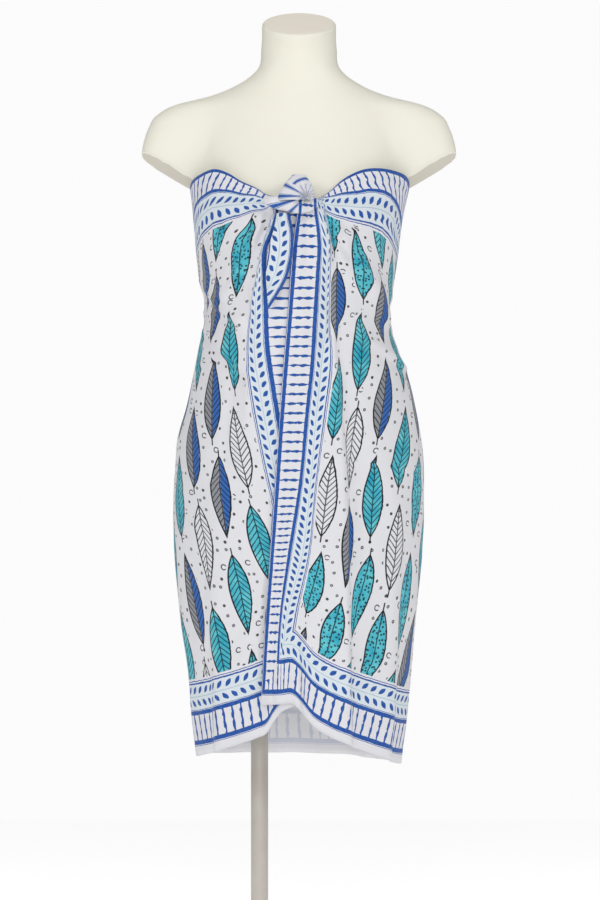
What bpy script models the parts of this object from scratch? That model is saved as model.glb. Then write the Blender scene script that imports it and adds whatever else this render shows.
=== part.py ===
"""Wrap skirt on a dress form.

One printed cotton rectangle is wrapped round a limbless dress form, under the arm stubs, and knotted at the
centre front. The front stretch on the viewer's right lies over the one on the left. The form stands on a pole
that is off centre over a round base plate.

Metres, +Z up, -Y is the front, and the origin is the middle of the base plate's underside.
Angles go round the body's vertical axis from the centre front, positive towards the viewer's right (+X).
"""
import math

import bmesh
import bpy
import numpy as np
from mathutils import Matrix, Vector

# Driving dimensions
CLOTH_WALL = 0.0015
SEAM_GAP = 0.0006
LAYER_STEP = 0.0024
LAYER_BLEND = math.radians(22)
REST_GAP = 0.0008
UNROLL_RADIUS = 0.135
ROW_SPREAD = 1.45

BASE_RADIUS = 0.190
BASE_HEIGHT = 0.008
POLE_X = -0.056
POLE_RADIUS = 0.0122
COLLAR_RADIUS = 0.026
COLLAR_HEIGHT = 0.040
FLANGE_RADIUS = 0.034
FLANGE_HEIGHT = 0.022
FORM_UNDERSIDE = 0.700
FIT_GAP = 0.0003

NECK_TILT = math.radians(22.3)
NECK_CAP_HEIGHT = 1.4845
STUB_INNER_X = 0.1434
STUB_INNER_Z = 1.2467
STUB_NORMAL = Vector((0.521, -0.223, -0.824)).normalized()

KNOT_PLANE_Z = 1.2265
KNOT_BACK_TOP = 1.2285
TIP_Y = -0.1400
TIP_LEAN = 0.0070
TIP_HALF_DEPTH = 0.0140
TIP_PLEAT = 0.0035
LUMP_SIDES = 28
LUMP_RINGS = 14
TAIL_WALL = 0.0020
TAIL_LIFT = 0.0006


def table(names, rows):
    """A short table with named columns."""
    return dict(zip(names.split(), np.array(rows, dtype=float).T))


# The cloth's outer surface: half widths to the viewer's left and right, depths to the front and back
CLOTH = table("z left right front back power", [
    (0.420, 0.1380, 0.1380, 0.1215, 0.1290, 2.2),
    (0.444, 0.1405, 0.1400, 0.1215, 0.1285, 2.2),
    (0.509, 0.1490, 0.1490, 0.1210, 0.1270, 2.2),
    (0.551, 0.1530, 0.1535, 0.1210, 0.1260, 2.2),
    (0.637, 0.1665, 0.1620, 0.1210, 0.1250, 2.2),
    (0.722, 0.1750, 0.1720, 0.1210, 0.1250, 2.2),
    (0.786, 0.1775, 0.1765, 0.1210, 0.1250, 2.2),
    (0.850, 0.1750, 0.1765, 0.1200, 0.1240, 2.2),
    (0.892, 0.1720, 0.1730, 0.1190, 0.1220, 2.2),
    (0.935, 0.1600, 0.1650, 0.1180, 0.1170, 2.2),
    (0.978, 0.1510, 0.1545, 0.1170, 0.1090, 2.2),
    (1.020, 0.1420, 0.1400, 0.1160, 0.1000, 2.2),
    (1.063, 0.1330, 0.1270, 0.1170, 0.0940, 2.2),
    (1.106, 0.1350, 0.1330, 0.1220, 0.0960, 2.2),
    (1.148, 0.1445, 0.1385, 0.1280, 0.1000, 2.2),
    (1.191, 0.1480, 0.1440, 0.1300, 0.1020, 2.3),
    (1.233, 0.1520, 0.1520, 0.1250, 0.1010, 2.4),
    (1.260, 0.1560, 0.1580, 0.1160, 0.0990, 2.6),
    (1.290, 0.1580, 0.1600, 0.1040, 0.0970, 2.6),
])

# The form's trunk, chest and neck
TRUNK = table("z half front back power", [
    (0.700, 0.1600, 0.1040, 0.1100, 2.2),
    (0.786, 0.1720, 0.1150, 0.1190, 2.2),
    (0.850, 0.1725, 0.1178, 0.1217, 2.2),
    (0.892, 0.1690, 0.1165, 0.1195, 2.2),
    (0.935, 0.1575, 0.1140, 0.1130, 2.2),
    (0.978, 0.1460, 0.1110, 0.1045, 2.2),
    (1.020, 0.1345, 0.1095, 0.0955, 2.2),
    (1.063, 0.1235, 0.1095, 0.0900, 2.2),
    (1.106, 0.1280, 0.1150, 0.0925, 2.2),
    (1.148, 0.1355, 0.1235, 0.0970, 2.2),
    (1.191, 0.1410, 0.1276, 0.0997, 2.3),
    (1.233, 0.1440, 0.1195, 0.0975, 2.3),
    (1.270, 0.1450, 0.1065, 0.0940, 2.3),
    (1.304, 0.1480, 0.0910, 0.0920, 2.2),
    (1.335, 0.1480, 0.0760, 0.0890, 2.1),
    (1.369, 0.1300, 0.0610, 0.0830, 2.0),
    (1.392, 0.0940, 0.0510, 0.0740, 2.0),
    (1.404, 0.0746, 0.0485, 0.0660, 2.0),
    (1.415, 0.0615, 0.0480, 0.0610, 2.0),
    (1.448, 0.0535, 0.0490, 0.0560, 2.0),
    (1.480, 0.0525, 0.0530, 0.0530, 2.0),
    (1.520, 0.0525, 0.0570, 0.0500, 2.0),
])

# The form's shoulders and arm stubs, blended with the trunk
SHOULDERS = table("z half front back power", [
    (1.215, 0.1200, 0.0250, 0.0350, 2.0),
    (1.236, 0.1380, 0.0340, 0.0420, 2.4),
    (1.255, 0.1740, 0.0430, 0.0500, 2.8),
    (1.275, 0.2080, 0.0460, 0.0530, 3.0),
    (1.288, 0.2220, 0.0470, 0.0545, 3.0),
    (1.304, 0.2225, 0.0475, 0.0560, 3.0),
    (1.320, 0.2190, 0.0475, 0.0565, 2.9),
    (1.335, 0.2135, 0.0470, 0.0560, 2.7),
    (1.352, 0.2030, 0.0450, 0.0550, 2.5),
    (1.369, 0.1710, 0.0420, 0.0530, 2.3),
    (1.380, 0.1260, 0.0390, 0.0500, 2.0),
    (1.392, 0.0850, 0.0350, 0.0460, 2.0),
    (1.410, 0.0400, 0.0300, 0.0400, 2.0),
])

# The cloth's top edge all round
TOP_EDGE = table("degrees z", [
    (-180, 1.2180), (-140, 1.2200), (-110, 1.2260), (-96, 1.2340), (-87, 1.2420), (-76, 1.2535), (-63, 1.2645),
    (-53, 1.2710), (-45, 1.2650), (-36, 1.2525), (-27, 1.2430), (-21, 1.2345), (-14, 1.2300),
    (0, 1.2290), (14, 1.2300), (20, 1.2388), (27, 1.2528), (34, 1.2627), (42, 1.2700), (51, 1.2720),
    (59, 1.2700), (68, 1.2650), (78, 1.2550), (87, 1.2425), (96, 1.2340), (110, 1.2260), (140, 1.2200),
    (180, 1.2180),
])

# The hem of the stretch on top, from its free edge round the right side to the centre back
HEM_OVER = table("degrees z", [
    (-24, 0.5240), (-12, 0.5240), (-3, 0.5240), (2, 0.5130), (8, 0.4965), (20, 0.4785), (32, 0.4665),
    (48, 0.4530), (68, 0.4390), (88, 0.4330), (120, 0.4320), (150, 0.4370), (180, 0.4390),
])

# The hem of the stretch underneath, from the centre back round the left side to its hidden free edge
HEM_UNDER = table("degrees z", [
    (-180, 0.4390), (-150, 0.4400), (-110, 0.4430), (-88, 0.4440), (-62, 0.4520), (-38, 0.4680),
    (-27, 0.4770), (-20.5, 0.4850), (-17, 0.4980), (-12, 0.5120), (-5, 0.5200), (5, 0.5260), (24, 0.5300),
])

# The two free side edges, as seen from the front
EDGE_OVER = table("z x", [
    (0.400, -0.0545), (0.524, -0.0515), (0.600, -0.0480), (0.685, -0.0425), (0.790, -0.0370),
    (0.873, -0.0287), (0.990, -0.0218), (1.076, -0.0123), (1.160, -0.0055), (1.230, 0.0040),
])
EDGE_UNDER = table("z x", [
    (0.400, 0.0510), (0.524, 0.0480), (0.700, 0.0400), (0.900, 0.0280), (1.100, 0.0190), (1.230, 0.0150),
])

# Folds: each runs from its start to its end (degrees, z) and rises there by start_rise and end_rise;
# left and right are how far it takes to fall away on its two sides
FOLDS = table("start start_z end end_z start_rise end_rise left right", [
    # from the knot to the viewer's right: the long drag fold, the strip that stands proud and the band's pleat
    (13, 1.205, 27, 1.148, 0.0050, 0.0115, 0.016, 0.016),
    (27, 1.148, 70, 1.068, 0.0115, 0.0080, 0.017, 0.017),
    (9, 1.190, 11, 1.030, 0.0070, 0.0080, 0.014, 0.010),
    (11, 1.030, 9, 0.930, 0.0080, 0.0030, 0.014, 0.010),
    (17, 1.214, 62, 1.205, 0.0070, 0.0025, 0.010, 0.010),
    # the long hanging fold on the viewer's right
    (22, 1.060, 27, 0.860, 0.0030, 0.0090, 0.018, 0.010),
    (27, 0.860, 31, 0.440, 0.0090, 0.0090, 0.020, 0.011),
    # from the knot to the viewer's left
    (-15, 1.195, -30, 1.080, 0.0100, 0.0085, 0.012, 0.009),
    (-23, 1.195, -52, 1.095, 0.0060, 0.0060, 0.011, 0.011),
    (-19, 1.219, -62, 1.212, 0.0070, 0.0025, 0.010, 0.010),
    # soft drags at the waist on both sides
    (-84, 1.112, -42, 1.056, 0.0050, 0.0065, 0.012, 0.010),
    (-76, 1.046, -34, 0.985, 0.0040, 0.0060, 0.013, 0.011),
    (-32, 0.985, -34, 0.860, 0.0055, 0.0025, 0.012, 0.014),
    (44, 1.030, 82, 0.992, 0.0045, 0.0055, 0.012, 0.012),
    # beside the edge of the stretch on top, and the folds that lift the hem
    (-3, 0.900, -8, 0.660, 0.0010, 0.0035, 0.014, 0.014),
    (-17, 0.690, -18, 0.520, 0.0035, 0.0090, 0.016, 0.008),
    (-2, 0.620, 0, 0.500, 0.0025, 0.0080, 0.011, 0.009),
    # soft hanging folds round the skirt's front and sides
    (58, 0.820, 60, 0.430, 0.0020, 0.0080, 0.018, 0.018),
    (-50, 0.800, -52, 0.440, 0.0020, 0.0070, 0.018, 0.018),
    (-77, 0.740, -79, 0.440, 0.0015, 0.0060, 0.018, 0.018),
    (86, 0.720, 87, 0.430, 0.0015, 0.0060, 0.018, 0.018),
    # the back: drags across the hollow of the back and hanging folds below the seat
    (112, 1.076, 164, 1.005, 0.0050, 0.0070, 0.014, 0.014),
    (-112, 1.080, -160, 1.015, 0.0050, 0.0070, 0.014, 0.014),
    (-176, 1.100, -176, 0.960, 0.0030, 0.0045, 0.016, 0.016),
    (120, 0.760, 122, 0.430, 0.0020, 0.0095, 0.018, 0.018),
    (152, 0.720, 150, 0.430, 0.0020, 0.0105, 0.018, 0.018),
    (-176, 0.760, -177, 0.430, 0.0015, 0.0085, 0.018, 0.018),
    (-146, 0.720, -148, 0.430, 0.0020, 0.0105, 0.018, 0.018),
    (-115, 0.780, -117, 0.430, 0.0020, 0.0090, 0.018, 0.018),
])

# The tail that hangs from the knot, as seen from the front, and how far its middle stands out
TAIL = table("z left right rise", [
    (1.0760, -0.0432, -0.0408, 0.0010), (1.0950, -0.0445, -0.0290, 0.0040), (1.1120, -0.0458, -0.0190, 0.0065),
    (1.1450, -0.0445, -0.0095, 0.0085), (1.1650, -0.0405, -0.0075, 0.0095), (1.1850, -0.0350, -0.0085, 0.0100),
    (1.1950, -0.0330, -0.0105, 0.0100), (1.2068, -0.0310, -0.0125, 0.0085),
])

# The roll of cloth round the knot, from left to right: its middle height, thickness up and down, and depth
ROLL = table("x z up deep", [
    (-0.0510, 1.2250, 0.0045, 0.0060), (-0.0350, 1.2215, 0.0085, 0.0120), (-0.0200, 1.2190, 0.0098, 0.0160),
    (0.0000, 1.2170, 0.0110, 0.0180), (0.0160, 1.2190, 0.0098, 0.0150), (0.0320, 1.2225, 0.0045, 0.0070),
])


# The puffed end above the knot, as seen from the front, and the place where its pleats meet
PUFF = table("z left right", [
    (1.2265, -0.0298, 0.0205), (1.2356, -0.0265, 0.0208), (1.2439, -0.0222, 0.0188), (1.2520, -0.0162, 0.0146),
    (1.2580, -0.0095, 0.0088), (1.2608, -0.0030, 0.0015),
])
GATHER_X = 0.0160
GATHER_Z = 1.2290


def curve(knots, values, where):
    """A smooth curve through a table's column, held level past its ends."""
    slopes = np.gradient(values, knots)
    index = np.clip(np.searchsorted(knots, where) - 1, 0, len(knots) - 2)
    step = knots[index + 1] - knots[index]
    t = np.clip((where - knots[index]) / step, 0.0, 1.0)
    start = values[index] * (1 + 2 * t) * (1 - t) ** 2 + slopes[index] * step * t * (1 - t) ** 2
    end = values[index + 1] * (3 - 2 * t) * t ** 2 + slopes[index + 1] * step * t ** 2 * (t - 1)
    return start + end


def smooth_step(value):
    value = np.clip(value, 0.0, 1.0)
    return value * value * (3 - 2 * value)


def ring_radius(rows, left, right, angle, z):
    """How far a horizontal section reaches from the axis at an angle."""
    half = np.where(np.sin(angle) < 0, curve(rows["z"], rows[left], z), curve(rows["z"], rows[right], z))
    front = curve(rows["z"], rows["front"], z)
    back = curve(rows["z"], rows["back"], z)
    depth = np.where(np.cos(angle) > 0, front, back)
    power = curve(rows["z"], rows["power"], z)
    reach = (np.abs(np.sin(angle)) / half) ** power + (np.abs(np.cos(angle)) / depth) ** power
    return reach ** (-1.0 / power)


def cloth_point(angle, z, out):
    """The point of the cloth's outer surface at an angle and height, moved out by a distance."""
    small = 1e-3
    radius = ring_radius(CLOTH, "left", "right", angle, z)
    slope = ring_radius(CLOTH, "left", "right", angle + small, z)
    slope = (slope - ring_radius(CLOTH, "left", "right", angle - small, z)) / (2 * small)
    along_x = slope * np.sin(angle) + radius * np.cos(angle)
    along_y = -slope * np.cos(angle) + radius * np.sin(angle)
    length = np.hypot(along_x, along_y)
    x = radius * np.sin(angle) + out * along_y / length
    y = -radius * np.cos(angle) - out * along_x / length
    return np.stack([x, y, z], axis=-1)


def front_angle(x, z):
    """The angle at which the cloth's front passes a given x."""
    half = np.where(x < 0, curve(CLOTH["z"], CLOTH["left"], z), curve(CLOTH["z"], CLOTH["right"], z))
    power = curve(CLOTH["z"], CLOTH["power"], z)
    depth = curve(CLOTH["z"], CLOTH["front"], z) * (1 - (np.abs(x) / half) ** power) ** (1 / power)
    return np.arctan2(x, depth)


def edge_angle(edge, z):
    return front_angle(curve(edge["z"], edge["x"], z), z)


def fold_rise(angle, z):
    """How far the folds lift the cloth off its plain sections; where two meet, the higher one wins softly."""
    blend = 4
    total = np.zeros_like(angle)
    for row in zip(*FOLDS.values()):
        start, start_z, end, end_z, start_rise, end_rise, left, right = row
        along = np.array([math.radians(end - start) * UNROLL_RADIUS, end_z - start_z])
        turn = np.mod(angle - math.radians(start) + math.pi, 2 * math.pi) - math.pi
        across = turn * UNROLL_RADIUS
        down = z - start_z
        t = np.clip((across * along[0] + down * along[1]) / along.dot(along), 0.0, 1.0)
        away_x = across - t * along[0]
        away_z = down - t * along[1]
        side = away_x * along[1] - away_z * along[0]
        width = np.where(side < 0, right, left)
        rise = (start_rise + (end_rise - start_rise) * t) * np.exp(-(away_x ** 2 + away_z ** 2) / width ** 2)
        total += rise ** blend
    return total ** (1 / blend)


def over_step(angle, z):
    """The stretch on top stands clear of the one underneath as far as that reaches."""
    past = (angle - edge_angle(EDGE_UNDER, z)) / LAYER_BLEND
    return LAYER_STEP * (1 - smooth_step(past))


def under_share(angle, z):
    """The stretch underneath lies plain where the one on top covers it."""
    past = (angle - edge_angle(EDGE_OVER, z)) / math.radians(5)
    return 1 - smooth_step(past + 1)


def over_surface(angle, z, out=0.0):
    return cloth_point(angle, z, fold_rise(angle, z) + over_step(angle, z) + out)


def under_surface(angle, z, out=0.0):
    return cloth_point(angle, z, fold_rise(angle, z) * under_share(angle, z) + out)


def back_surface(angle, z, out=0.0):
    return cloth_point(angle, z, fold_rise(angle, z) + out)


def material(name, colour, roughness, metallic=0.0):
    made = bpy.data.materials.new(name)
    made.use_nodes = True
    shader = made.node_tree.nodes["Principled BSDF"]
    shader.inputs["Base Color"].default_value = (*colour, 1.0)
    shader.inputs["Roughness"].default_value = roughness
    shader.inputs["Metallic"].default_value = metallic
    return made


def add_object(name, bm, finish, smooth=True):
    """Turn a bmesh into a named object in the skirt's collection."""
    mesh = bpy.data.meshes.new(name)
    bm.to_mesh(mesh)
    bm.free()
    if smooth:
        mesh.shade_smooth()
        mesh.set_sharp_from_angle(angle=math.radians(40))
    made = bpy.data.objects.new(name, mesh)
    made.data.materials.append(finish)
    skirt_collection.objects.link(made)
    return made


def sheet(name, columns, rows, place, finish, wall=CLOTH_WALL):
    """A grid of cloth whose corners are placed by a rule of u and v from 0 to 1, thickened inwards."""
    bm = bmesh.new()
    bmesh.ops.create_grid(bm, x_segments=columns, y_segments=rows, size=1.0)
    u = np.array([vert.co.x * 0.5 + 0.5 for vert in bm.verts])
    v = np.array([vert.co.y * 0.5 + 0.5 for vert in bm.verts])
    for vert, point in zip(bm.verts, place(u, v)):
        vert.co = point
    made = add_object(name, bm, finish)
    solidify = made.modifiers.new("Wall", "SOLIDIFY")
    solidify.thickness = wall
    solidify.offset = -1.0
    return made


def stretch(u, v, first, last, hem, spread):
    """The angle and height of a grid corner between two side edges, the hem and the top edge."""
    across = u ** spread
    v = v * (ROW_SPREAD - (ROW_SPREAD - 1) * v)
    z = np.full_like(u, 0.85)
    for _ in range(6):
        angle = first(z) + (last - first(z)) * across
        low = curve(np.radians(hem["degrees"]), hem["z"], angle)
        high = curve(np.radians(TOP_EDGE["degrees"]), TOP_EDGE["z"], angle)
        z = low + (high - low) * v
    return angle, z


def make_over_front(finish):
    seam = math.pi / 2 - SEAM_GAP / 2 / CLOTH["right"].max()

    def place(u, v):
        angle, z = stretch(u, v, lambda height: edge_angle(EDGE_OVER, height), seam, HEM_OVER, 1.25)
        return over_surface(angle, z)
    return sheet("wrap_over_front", 42, 36, place, finish)


def make_under_front(finish):
    seam = -math.pi / 2 + SEAM_GAP / 2 / CLOTH["left"].max()

    def place(u, v):
        angle, z = stretch(1 - u, v, lambda height: edge_angle(EDGE_UNDER, height), seam, HEM_UNDER, 1.0)
        return under_surface(angle, z)
    return sheet("wrap_under_front", 24, 28, place, finish)


def make_back(finish):
    first = math.pi / 2 + SEAM_GAP / 2 / CLOTH["right"].max()
    last = 3 * math.pi / 2 - SEAM_GAP / 2 / CLOTH["left"].max()

    def place(u, v):
        angle = first + (last - first) * u
        turned = np.where(angle > math.pi, angle - 2 * math.pi, angle)
        low_right = curve(np.radians(HEM_OVER["degrees"]), HEM_OVER["z"], turned)
        low_left = curve(np.radians(HEM_UNDER["degrees"]), HEM_UNDER["z"], turned)
        low = np.where(turned > 0, low_right, low_left)
        high = curve(np.radians(TOP_EDGE["degrees"]), TOP_EDGE["z"], turned)
        return back_surface(turned, low + (high - low) * v)
    return sheet("wrap_back", 26, 18, place, finish)


def make_tail(finish):
    """The tied corner hangs as a folded strip, hollow behind, with a soft ridge down its middle."""
    low = TAIL["z"][0]
    high = TAIL["z"][-1]

    def place(u, v):
        z = low + (high - low) * v
        left = curve(TAIL["z"], TAIL["left"], z)
        right = curve(TAIL["z"], TAIL["right"], z)
        x = left + (right - left) * u
        rise = curve(TAIL["z"], TAIL["rise"], z) * np.sin(math.pi * u) ** 0.8
        outer = LAYER_STEP + REST_GAP + TAIL_WALL + TAIL_LIFT
        angle = front_angle(x, z)
        return cloth_point(angle, z, fold_rise(angle, z) + outer + rise)
    return sheet("knot_tail", 8, 12, place, finish, TAIL_WALL)


def cloth_front(x, z):
    """How far forward the outermost cloth reaches at a place seen from the front."""
    angle = front_angle(np.array([x]), np.array([z]))
    return float(over_surface(angle, np.array([z]))[0][1])


def knot_lump(name, place, finish):
    """A rounded lump whose corners are placed by a rule of turn, share along and pleat."""
    bm = bmesh.new()
    bmesh.ops.create_uvsphere(bm, u_segments=LUMP_SIDES, v_segments=LUMP_RINGS, radius=1.0)
    for vert in bm.verts:
        share = math.acos(max(-1.0, min(1.0, -vert.co.z))) / math.pi
        reach = math.hypot(vert.co.x, vert.co.y)
        side = vert.co.x / reach if reach > 1e-4 else 0.0
        out = vert.co.y / reach if reach > 1e-4 else 0.0
        x, y, z = place(share, side, out)
        vert.co = (x, min(y, cloth_front(x, min(z, KNOT_BACK_TOP)) - REST_GAP), z)
    bmesh.ops.recalc_face_normals(bm, faces=bm.faces[:])
    return add_object(name, bm, finish)


def make_knot_wrap(finish):
    """The roll of cloth that goes round the knot, pleated along its length."""
    def place(share, side, out):
        x = ROLL["x"][0] + (ROLL["x"][-1] - ROLL["x"][0]) * share
        round_end = max(0.0, 1 - (2 * share - 1) ** 8) ** 0.5
        turn = math.atan2(side, -out)
        pleat = 1 + 0.11 * math.cos(5 * turn + 4 * share) * math.sin(math.pi * share)
        middle = float(curve(ROLL["x"], ROLL["z"], x))
        up = float(curve(ROLL["x"], ROLL["up"], x)) * round_end * pleat
        deep = float(curve(ROLL["x"], ROLL["deep"], x)) * round_end * pleat
        z = min(middle + up * side, KNOT_PLANE_Z - FIT_GAP - REST_GAP / 2)
        return x, cloth_front(x, min(middle, KNOT_BACK_TOP)) - REST_GAP - deep * (1 - out) / 2, z
    return knot_lump("knot_wrap", place, finish)


def make_knot_tip(finish):
    """The puffed end that stands up out of the knot, widest at its flat foot, with pleats from the gather."""
    low = PUFF["z"][0]
    high = PUFF["z"][-1]

    def place(share, side, out):
        above_foot = max(0.0, share * LUMP_RINGS - 1) / (LUMP_RINGS - 1)
        rise = 1 - (1 - above_foot) ** 1.8
        z = low + (high - low) * rise
        left = float(curve(PUFF["z"], PUFF["left"], z))
        right = float(curve(PUFF["z"], PUFF["right"], z))
        x = (left + right) / 2 + (right - left) / 2 * side
        deep = TIP_HALF_DEPTH * max(0.0, 1 - rise ** 2.2) ** 0.6
        fan = math.atan2(z - GATHER_Z, x - GATHER_X)
        pleat = math.cos(7 * fan) * math.exp(-math.hypot(x - GATHER_X, z - GATHER_Z) / 0.018)
        front = max(0.0, -out) * min(1.0, share * LUMP_RINGS - 1) * (1 - rise)
        return x, TIP_Y + TIP_LEAN * rise + deep * out - TIP_PLEAT * pleat * front, z
    return knot_lump("knot_tip", place, finish)


def ring_rows():
    """The heights of the form's rings, closest where the shoulders turn in to the neck."""
    spans = [(FORM_UNDERSIDE, 1.190, 11), (1.190, 1.340, 13), (1.340, 1.412, 11), (1.412, 1.520, 3)]
    rows = []
    for low, high, count in spans:
        rows += [low + (high - low) * step / count for step in range(count)]
    return rows + [spans[-1][1]]


def form_radius(angle, z):
    """Trunk and shoulders joined by a soft blend, with a shallow dip between the two sides of the bust."""
    blend = 0.020
    trunk = ring_radius(TRUNK, "half", "half", angle, z)
    dip = 0.0080 * np.exp(-(angle / 0.20) ** 2 - ((z - 1.195) / 0.045) ** 2)
    trunk = trunk - dip
    arms = ring_radius(SHOULDERS, "half", "half", angle, z)
    arms = np.where((z < SHOULDERS["z"][0]) | (z > SHOULDERS["z"][-1]), 0.0, arms)
    near = np.clip(blend - np.abs(trunk - arms), 0.0, blend)
    return np.maximum(trunk, arms) + near * near / (4 * blend)


def loft(rings):
    """A closed loft through rings of equal count, capped flat at both ends."""
    bm = bmesh.new()
    loops = [[bm.verts.new(point) for point in ring] for ring in rings]
    count = len(loops[0])
    for lower, upper in zip(loops, loops[1:]):
        for index in range(count):
            after = (index + 1) % count
            bm.faces.new((lower[index], lower[after], upper[after], upper[index]))
    bm.faces.new(list(reversed(loops[0])))
    bm.faces.new(loops[-1])
    return bm


def make_form(finish):
    """One closed shell from the underside to the tilted neck cap, with flat cut arm stubs."""
    sides = 40
    squeeze = 1.5
    turn = np.arange(sides) * 2 * math.pi / sides
    angle = np.arctan2(squeeze * np.sin(turn), np.cos(turn))
    rings = []
    for z in ring_rows():
        radius = form_radius(angle, np.full_like(angle, z))
        rings.append([(r * math.sin(a), -r * math.cos(a), z) for r, a in zip(radius, angle)])
    bm = loft(rings)
    cap_normal = Vector((0.0, -math.sin(NECK_TILT), math.cos(NECK_TILT)))
    everything = bm.verts[:] + bm.edges[:] + bm.faces[:]
    cut = bmesh.ops.bisect_plane(bm, geom=everything, plane_co=(0.0, 0.0, NECK_CAP_HEIGHT),
                                 plane_no=cap_normal, clear_outer=True)
    rim = [piece for piece in cut["geom_cut"] if isinstance(piece, bmesh.types.BMEdge)]
    bmesh.ops.contextual_create(bm, geom=rim)
    form = add_object("form_torso", bm, finish)
    for side in (-1, 1):
        stub = form.modifiers.new("Stub", "BOOLEAN")
        stub.operation = "DIFFERENCE"
        stub.solver = "EXACT"
        stub.object = stub_cutter(side)
    return form


def stub_cutter(side):
    """A block whose upper face is the flat cut of an arm stub."""
    length, depth, height = 0.130, 0.200, 0.060
    bm = bmesh.new()
    bmesh.ops.create_cube(bm, size=1.0, matrix=Matrix.Diagonal((length, depth, height, 1.0)))
    outward = Vector((side * STUB_NORMAL.x, STUB_NORMAL.y, STUB_NORMAL.z))
    up = -outward
    forward = Vector((0.0, 1.0, 0.0))
    along = forward.cross(up).normalized() * side
    across = up.cross(along * side).normalized()
    inner = Vector((side * STUB_INNER_X, 0.0, STUB_INNER_Z))
    middle = inner + along * length / 2 - up * height / 2
    turn = Matrix((along * side, across, up)).transposed().to_4x4()
    bmesh.ops.transform(bm, matrix=Matrix.Translation(middle) @ turn, verts=bm.verts[:])
    mesh = bpy.data.meshes.new("stub_cutter")
    bm.to_mesh(mesh)
    bm.free()
    cutter = bpy.data.objects.new("stub_cutter", mesh)
    cutter.hide_render = True
    cutter.display_type = "WIRE"
    cutter_collection.objects.link(cutter)
    return cutter


def turned(name, radius, low, high, edge, centre_x, finish):
    """A round metal piece with softened edges."""
    bm = bmesh.new()
    bmesh.ops.create_cone(bm, cap_ends=True, segments=32, radius1=radius, radius2=radius, depth=high - low,
                          matrix=Matrix.Translation((centre_x, 0.0, (low + high) / 2)))
    rims = [line for line in bm.edges if abs(line.verts[0].co.z - line.verts[1].co.z) < 1e-6]
    if edge > 0:
        bmesh.ops.bevel(bm, geom=rims, offset=edge, segments=2, affect="EDGES", profile=0.5, material=-1)
    return add_object(name, bm, finish)


for leftover in list(bpy.data.objects):
    bpy.data.objects.remove(leftover)
skirt_collection = bpy.data.collections.new("wrap_skirt_on_form")
cutter_collection = bpy.data.collections.new("cutters")
bpy.context.scene.collection.children.link(skirt_collection)
bpy.context.scene.collection.children.link(cutter_collection)

cotton = material("printed_cotton", (0.62, 0.76, 0.84), 0.85)
cream_shell = material("cream_shell", (0.86, 0.84, 0.76), 0.45)
grey_metal = material("warm_grey_metal", (0.52, 0.50, 0.47), 0.35, 0.6)

make_form(cream_shell)
make_back(cotton)
make_under_front(cotton)
make_over_front(cotton)
make_knot_wrap(cotton)
make_knot_tip(cotton)
make_tail(cotton)
turned("base_plate", BASE_RADIUS, 0.0, BASE_HEIGHT, 0.0015, 0.0, grey_metal)
turned("base_collar", COLLAR_RADIUS, BASE_HEIGHT + FIT_GAP, BASE_HEIGHT + COLLAR_HEIGHT, 0.0015, POLE_X, grey_metal)
turned("pole", POLE_RADIUS, BASE_HEIGHT + COLLAR_HEIGHT + FIT_GAP, FORM_UNDERSIDE - FLANGE_HEIGHT - FIT_GAP,
       0.0, POLE_X, grey_metal)
turned("pole_flange", FLANGE_RADIUS, FORM_UNDERSIDE - FLANGE_HEIGHT, FORM_UNDERSIDE - FIT_GAP, 0.0015, POLE_X,
       grey_metal)
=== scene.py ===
# %% [markdown]
# # A knotted cotton wrap on a dress form
# One thin printed rectangle of cotton goes round a headless dress form, under the arm stubs, and is tied
# at the front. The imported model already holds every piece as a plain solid. This lesson loads it, so that
# each finished piece lands exactly where its solid is.

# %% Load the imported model
import math

import bmesh
import bpy
import numpy as np
from mathutils import Matrix, Vector


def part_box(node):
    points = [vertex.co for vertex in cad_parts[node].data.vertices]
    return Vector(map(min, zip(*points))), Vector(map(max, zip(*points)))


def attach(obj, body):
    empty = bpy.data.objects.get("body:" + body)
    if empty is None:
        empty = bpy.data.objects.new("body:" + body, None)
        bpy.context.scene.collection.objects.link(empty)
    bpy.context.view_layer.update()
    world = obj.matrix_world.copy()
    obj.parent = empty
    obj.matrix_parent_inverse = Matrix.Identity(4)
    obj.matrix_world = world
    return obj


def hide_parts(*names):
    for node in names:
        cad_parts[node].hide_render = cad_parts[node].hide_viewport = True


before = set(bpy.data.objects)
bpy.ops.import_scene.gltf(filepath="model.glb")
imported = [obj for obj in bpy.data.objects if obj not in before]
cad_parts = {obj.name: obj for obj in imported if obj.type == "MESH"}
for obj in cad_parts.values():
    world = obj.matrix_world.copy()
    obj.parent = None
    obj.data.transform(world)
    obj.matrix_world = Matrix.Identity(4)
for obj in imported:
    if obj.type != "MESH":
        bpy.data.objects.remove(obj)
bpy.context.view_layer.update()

# %% [markdown]
# ## Reading shapes from short tables
# A dress form and a hanging cloth both change slowly from one height to the next. A tailor would note a
# few girths and join them with a smooth line, so a short table with named columns and one smooth curve
# through each column describe them well.

# %% Tables and curves


def table(names, rows):
    """A short table with named columns."""
    return dict(zip(names.split(), np.array(rows, dtype=float).T))


def curve(knots, values, where):
    """A smooth curve through a table's column, held level past its ends."""
    slopes = np.gradient(values, knots)
    index = np.clip(np.searchsorted(knots, where) - 1, 0, len(knots) - 2)
    step = knots[index + 1] - knots[index]
    t = np.clip((where - knots[index]) / step, 0.0, 1.0)
    start = values[index] * (1 + 2 * t) * (1 - t) ** 2 + slopes[index] * step * t * (1 - t) ** 2
    end = values[index + 1] * (3 - 2 * t) * t ** 2 + slopes[index + 1] * step * t ** 2 * (t - 1)
    return start + end


def read(rows, name, where):
    """A table's column along its first one, which may hold degrees."""
    first = next(iter(rows))
    return curve(np.radians(rows[first]) if first == "degrees" else rows[first], rows[name], where)


def smooth_step(value):
    value = np.clip(value, 0.0, 1.0)
    return value * value * (3 - 2 * value)


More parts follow.
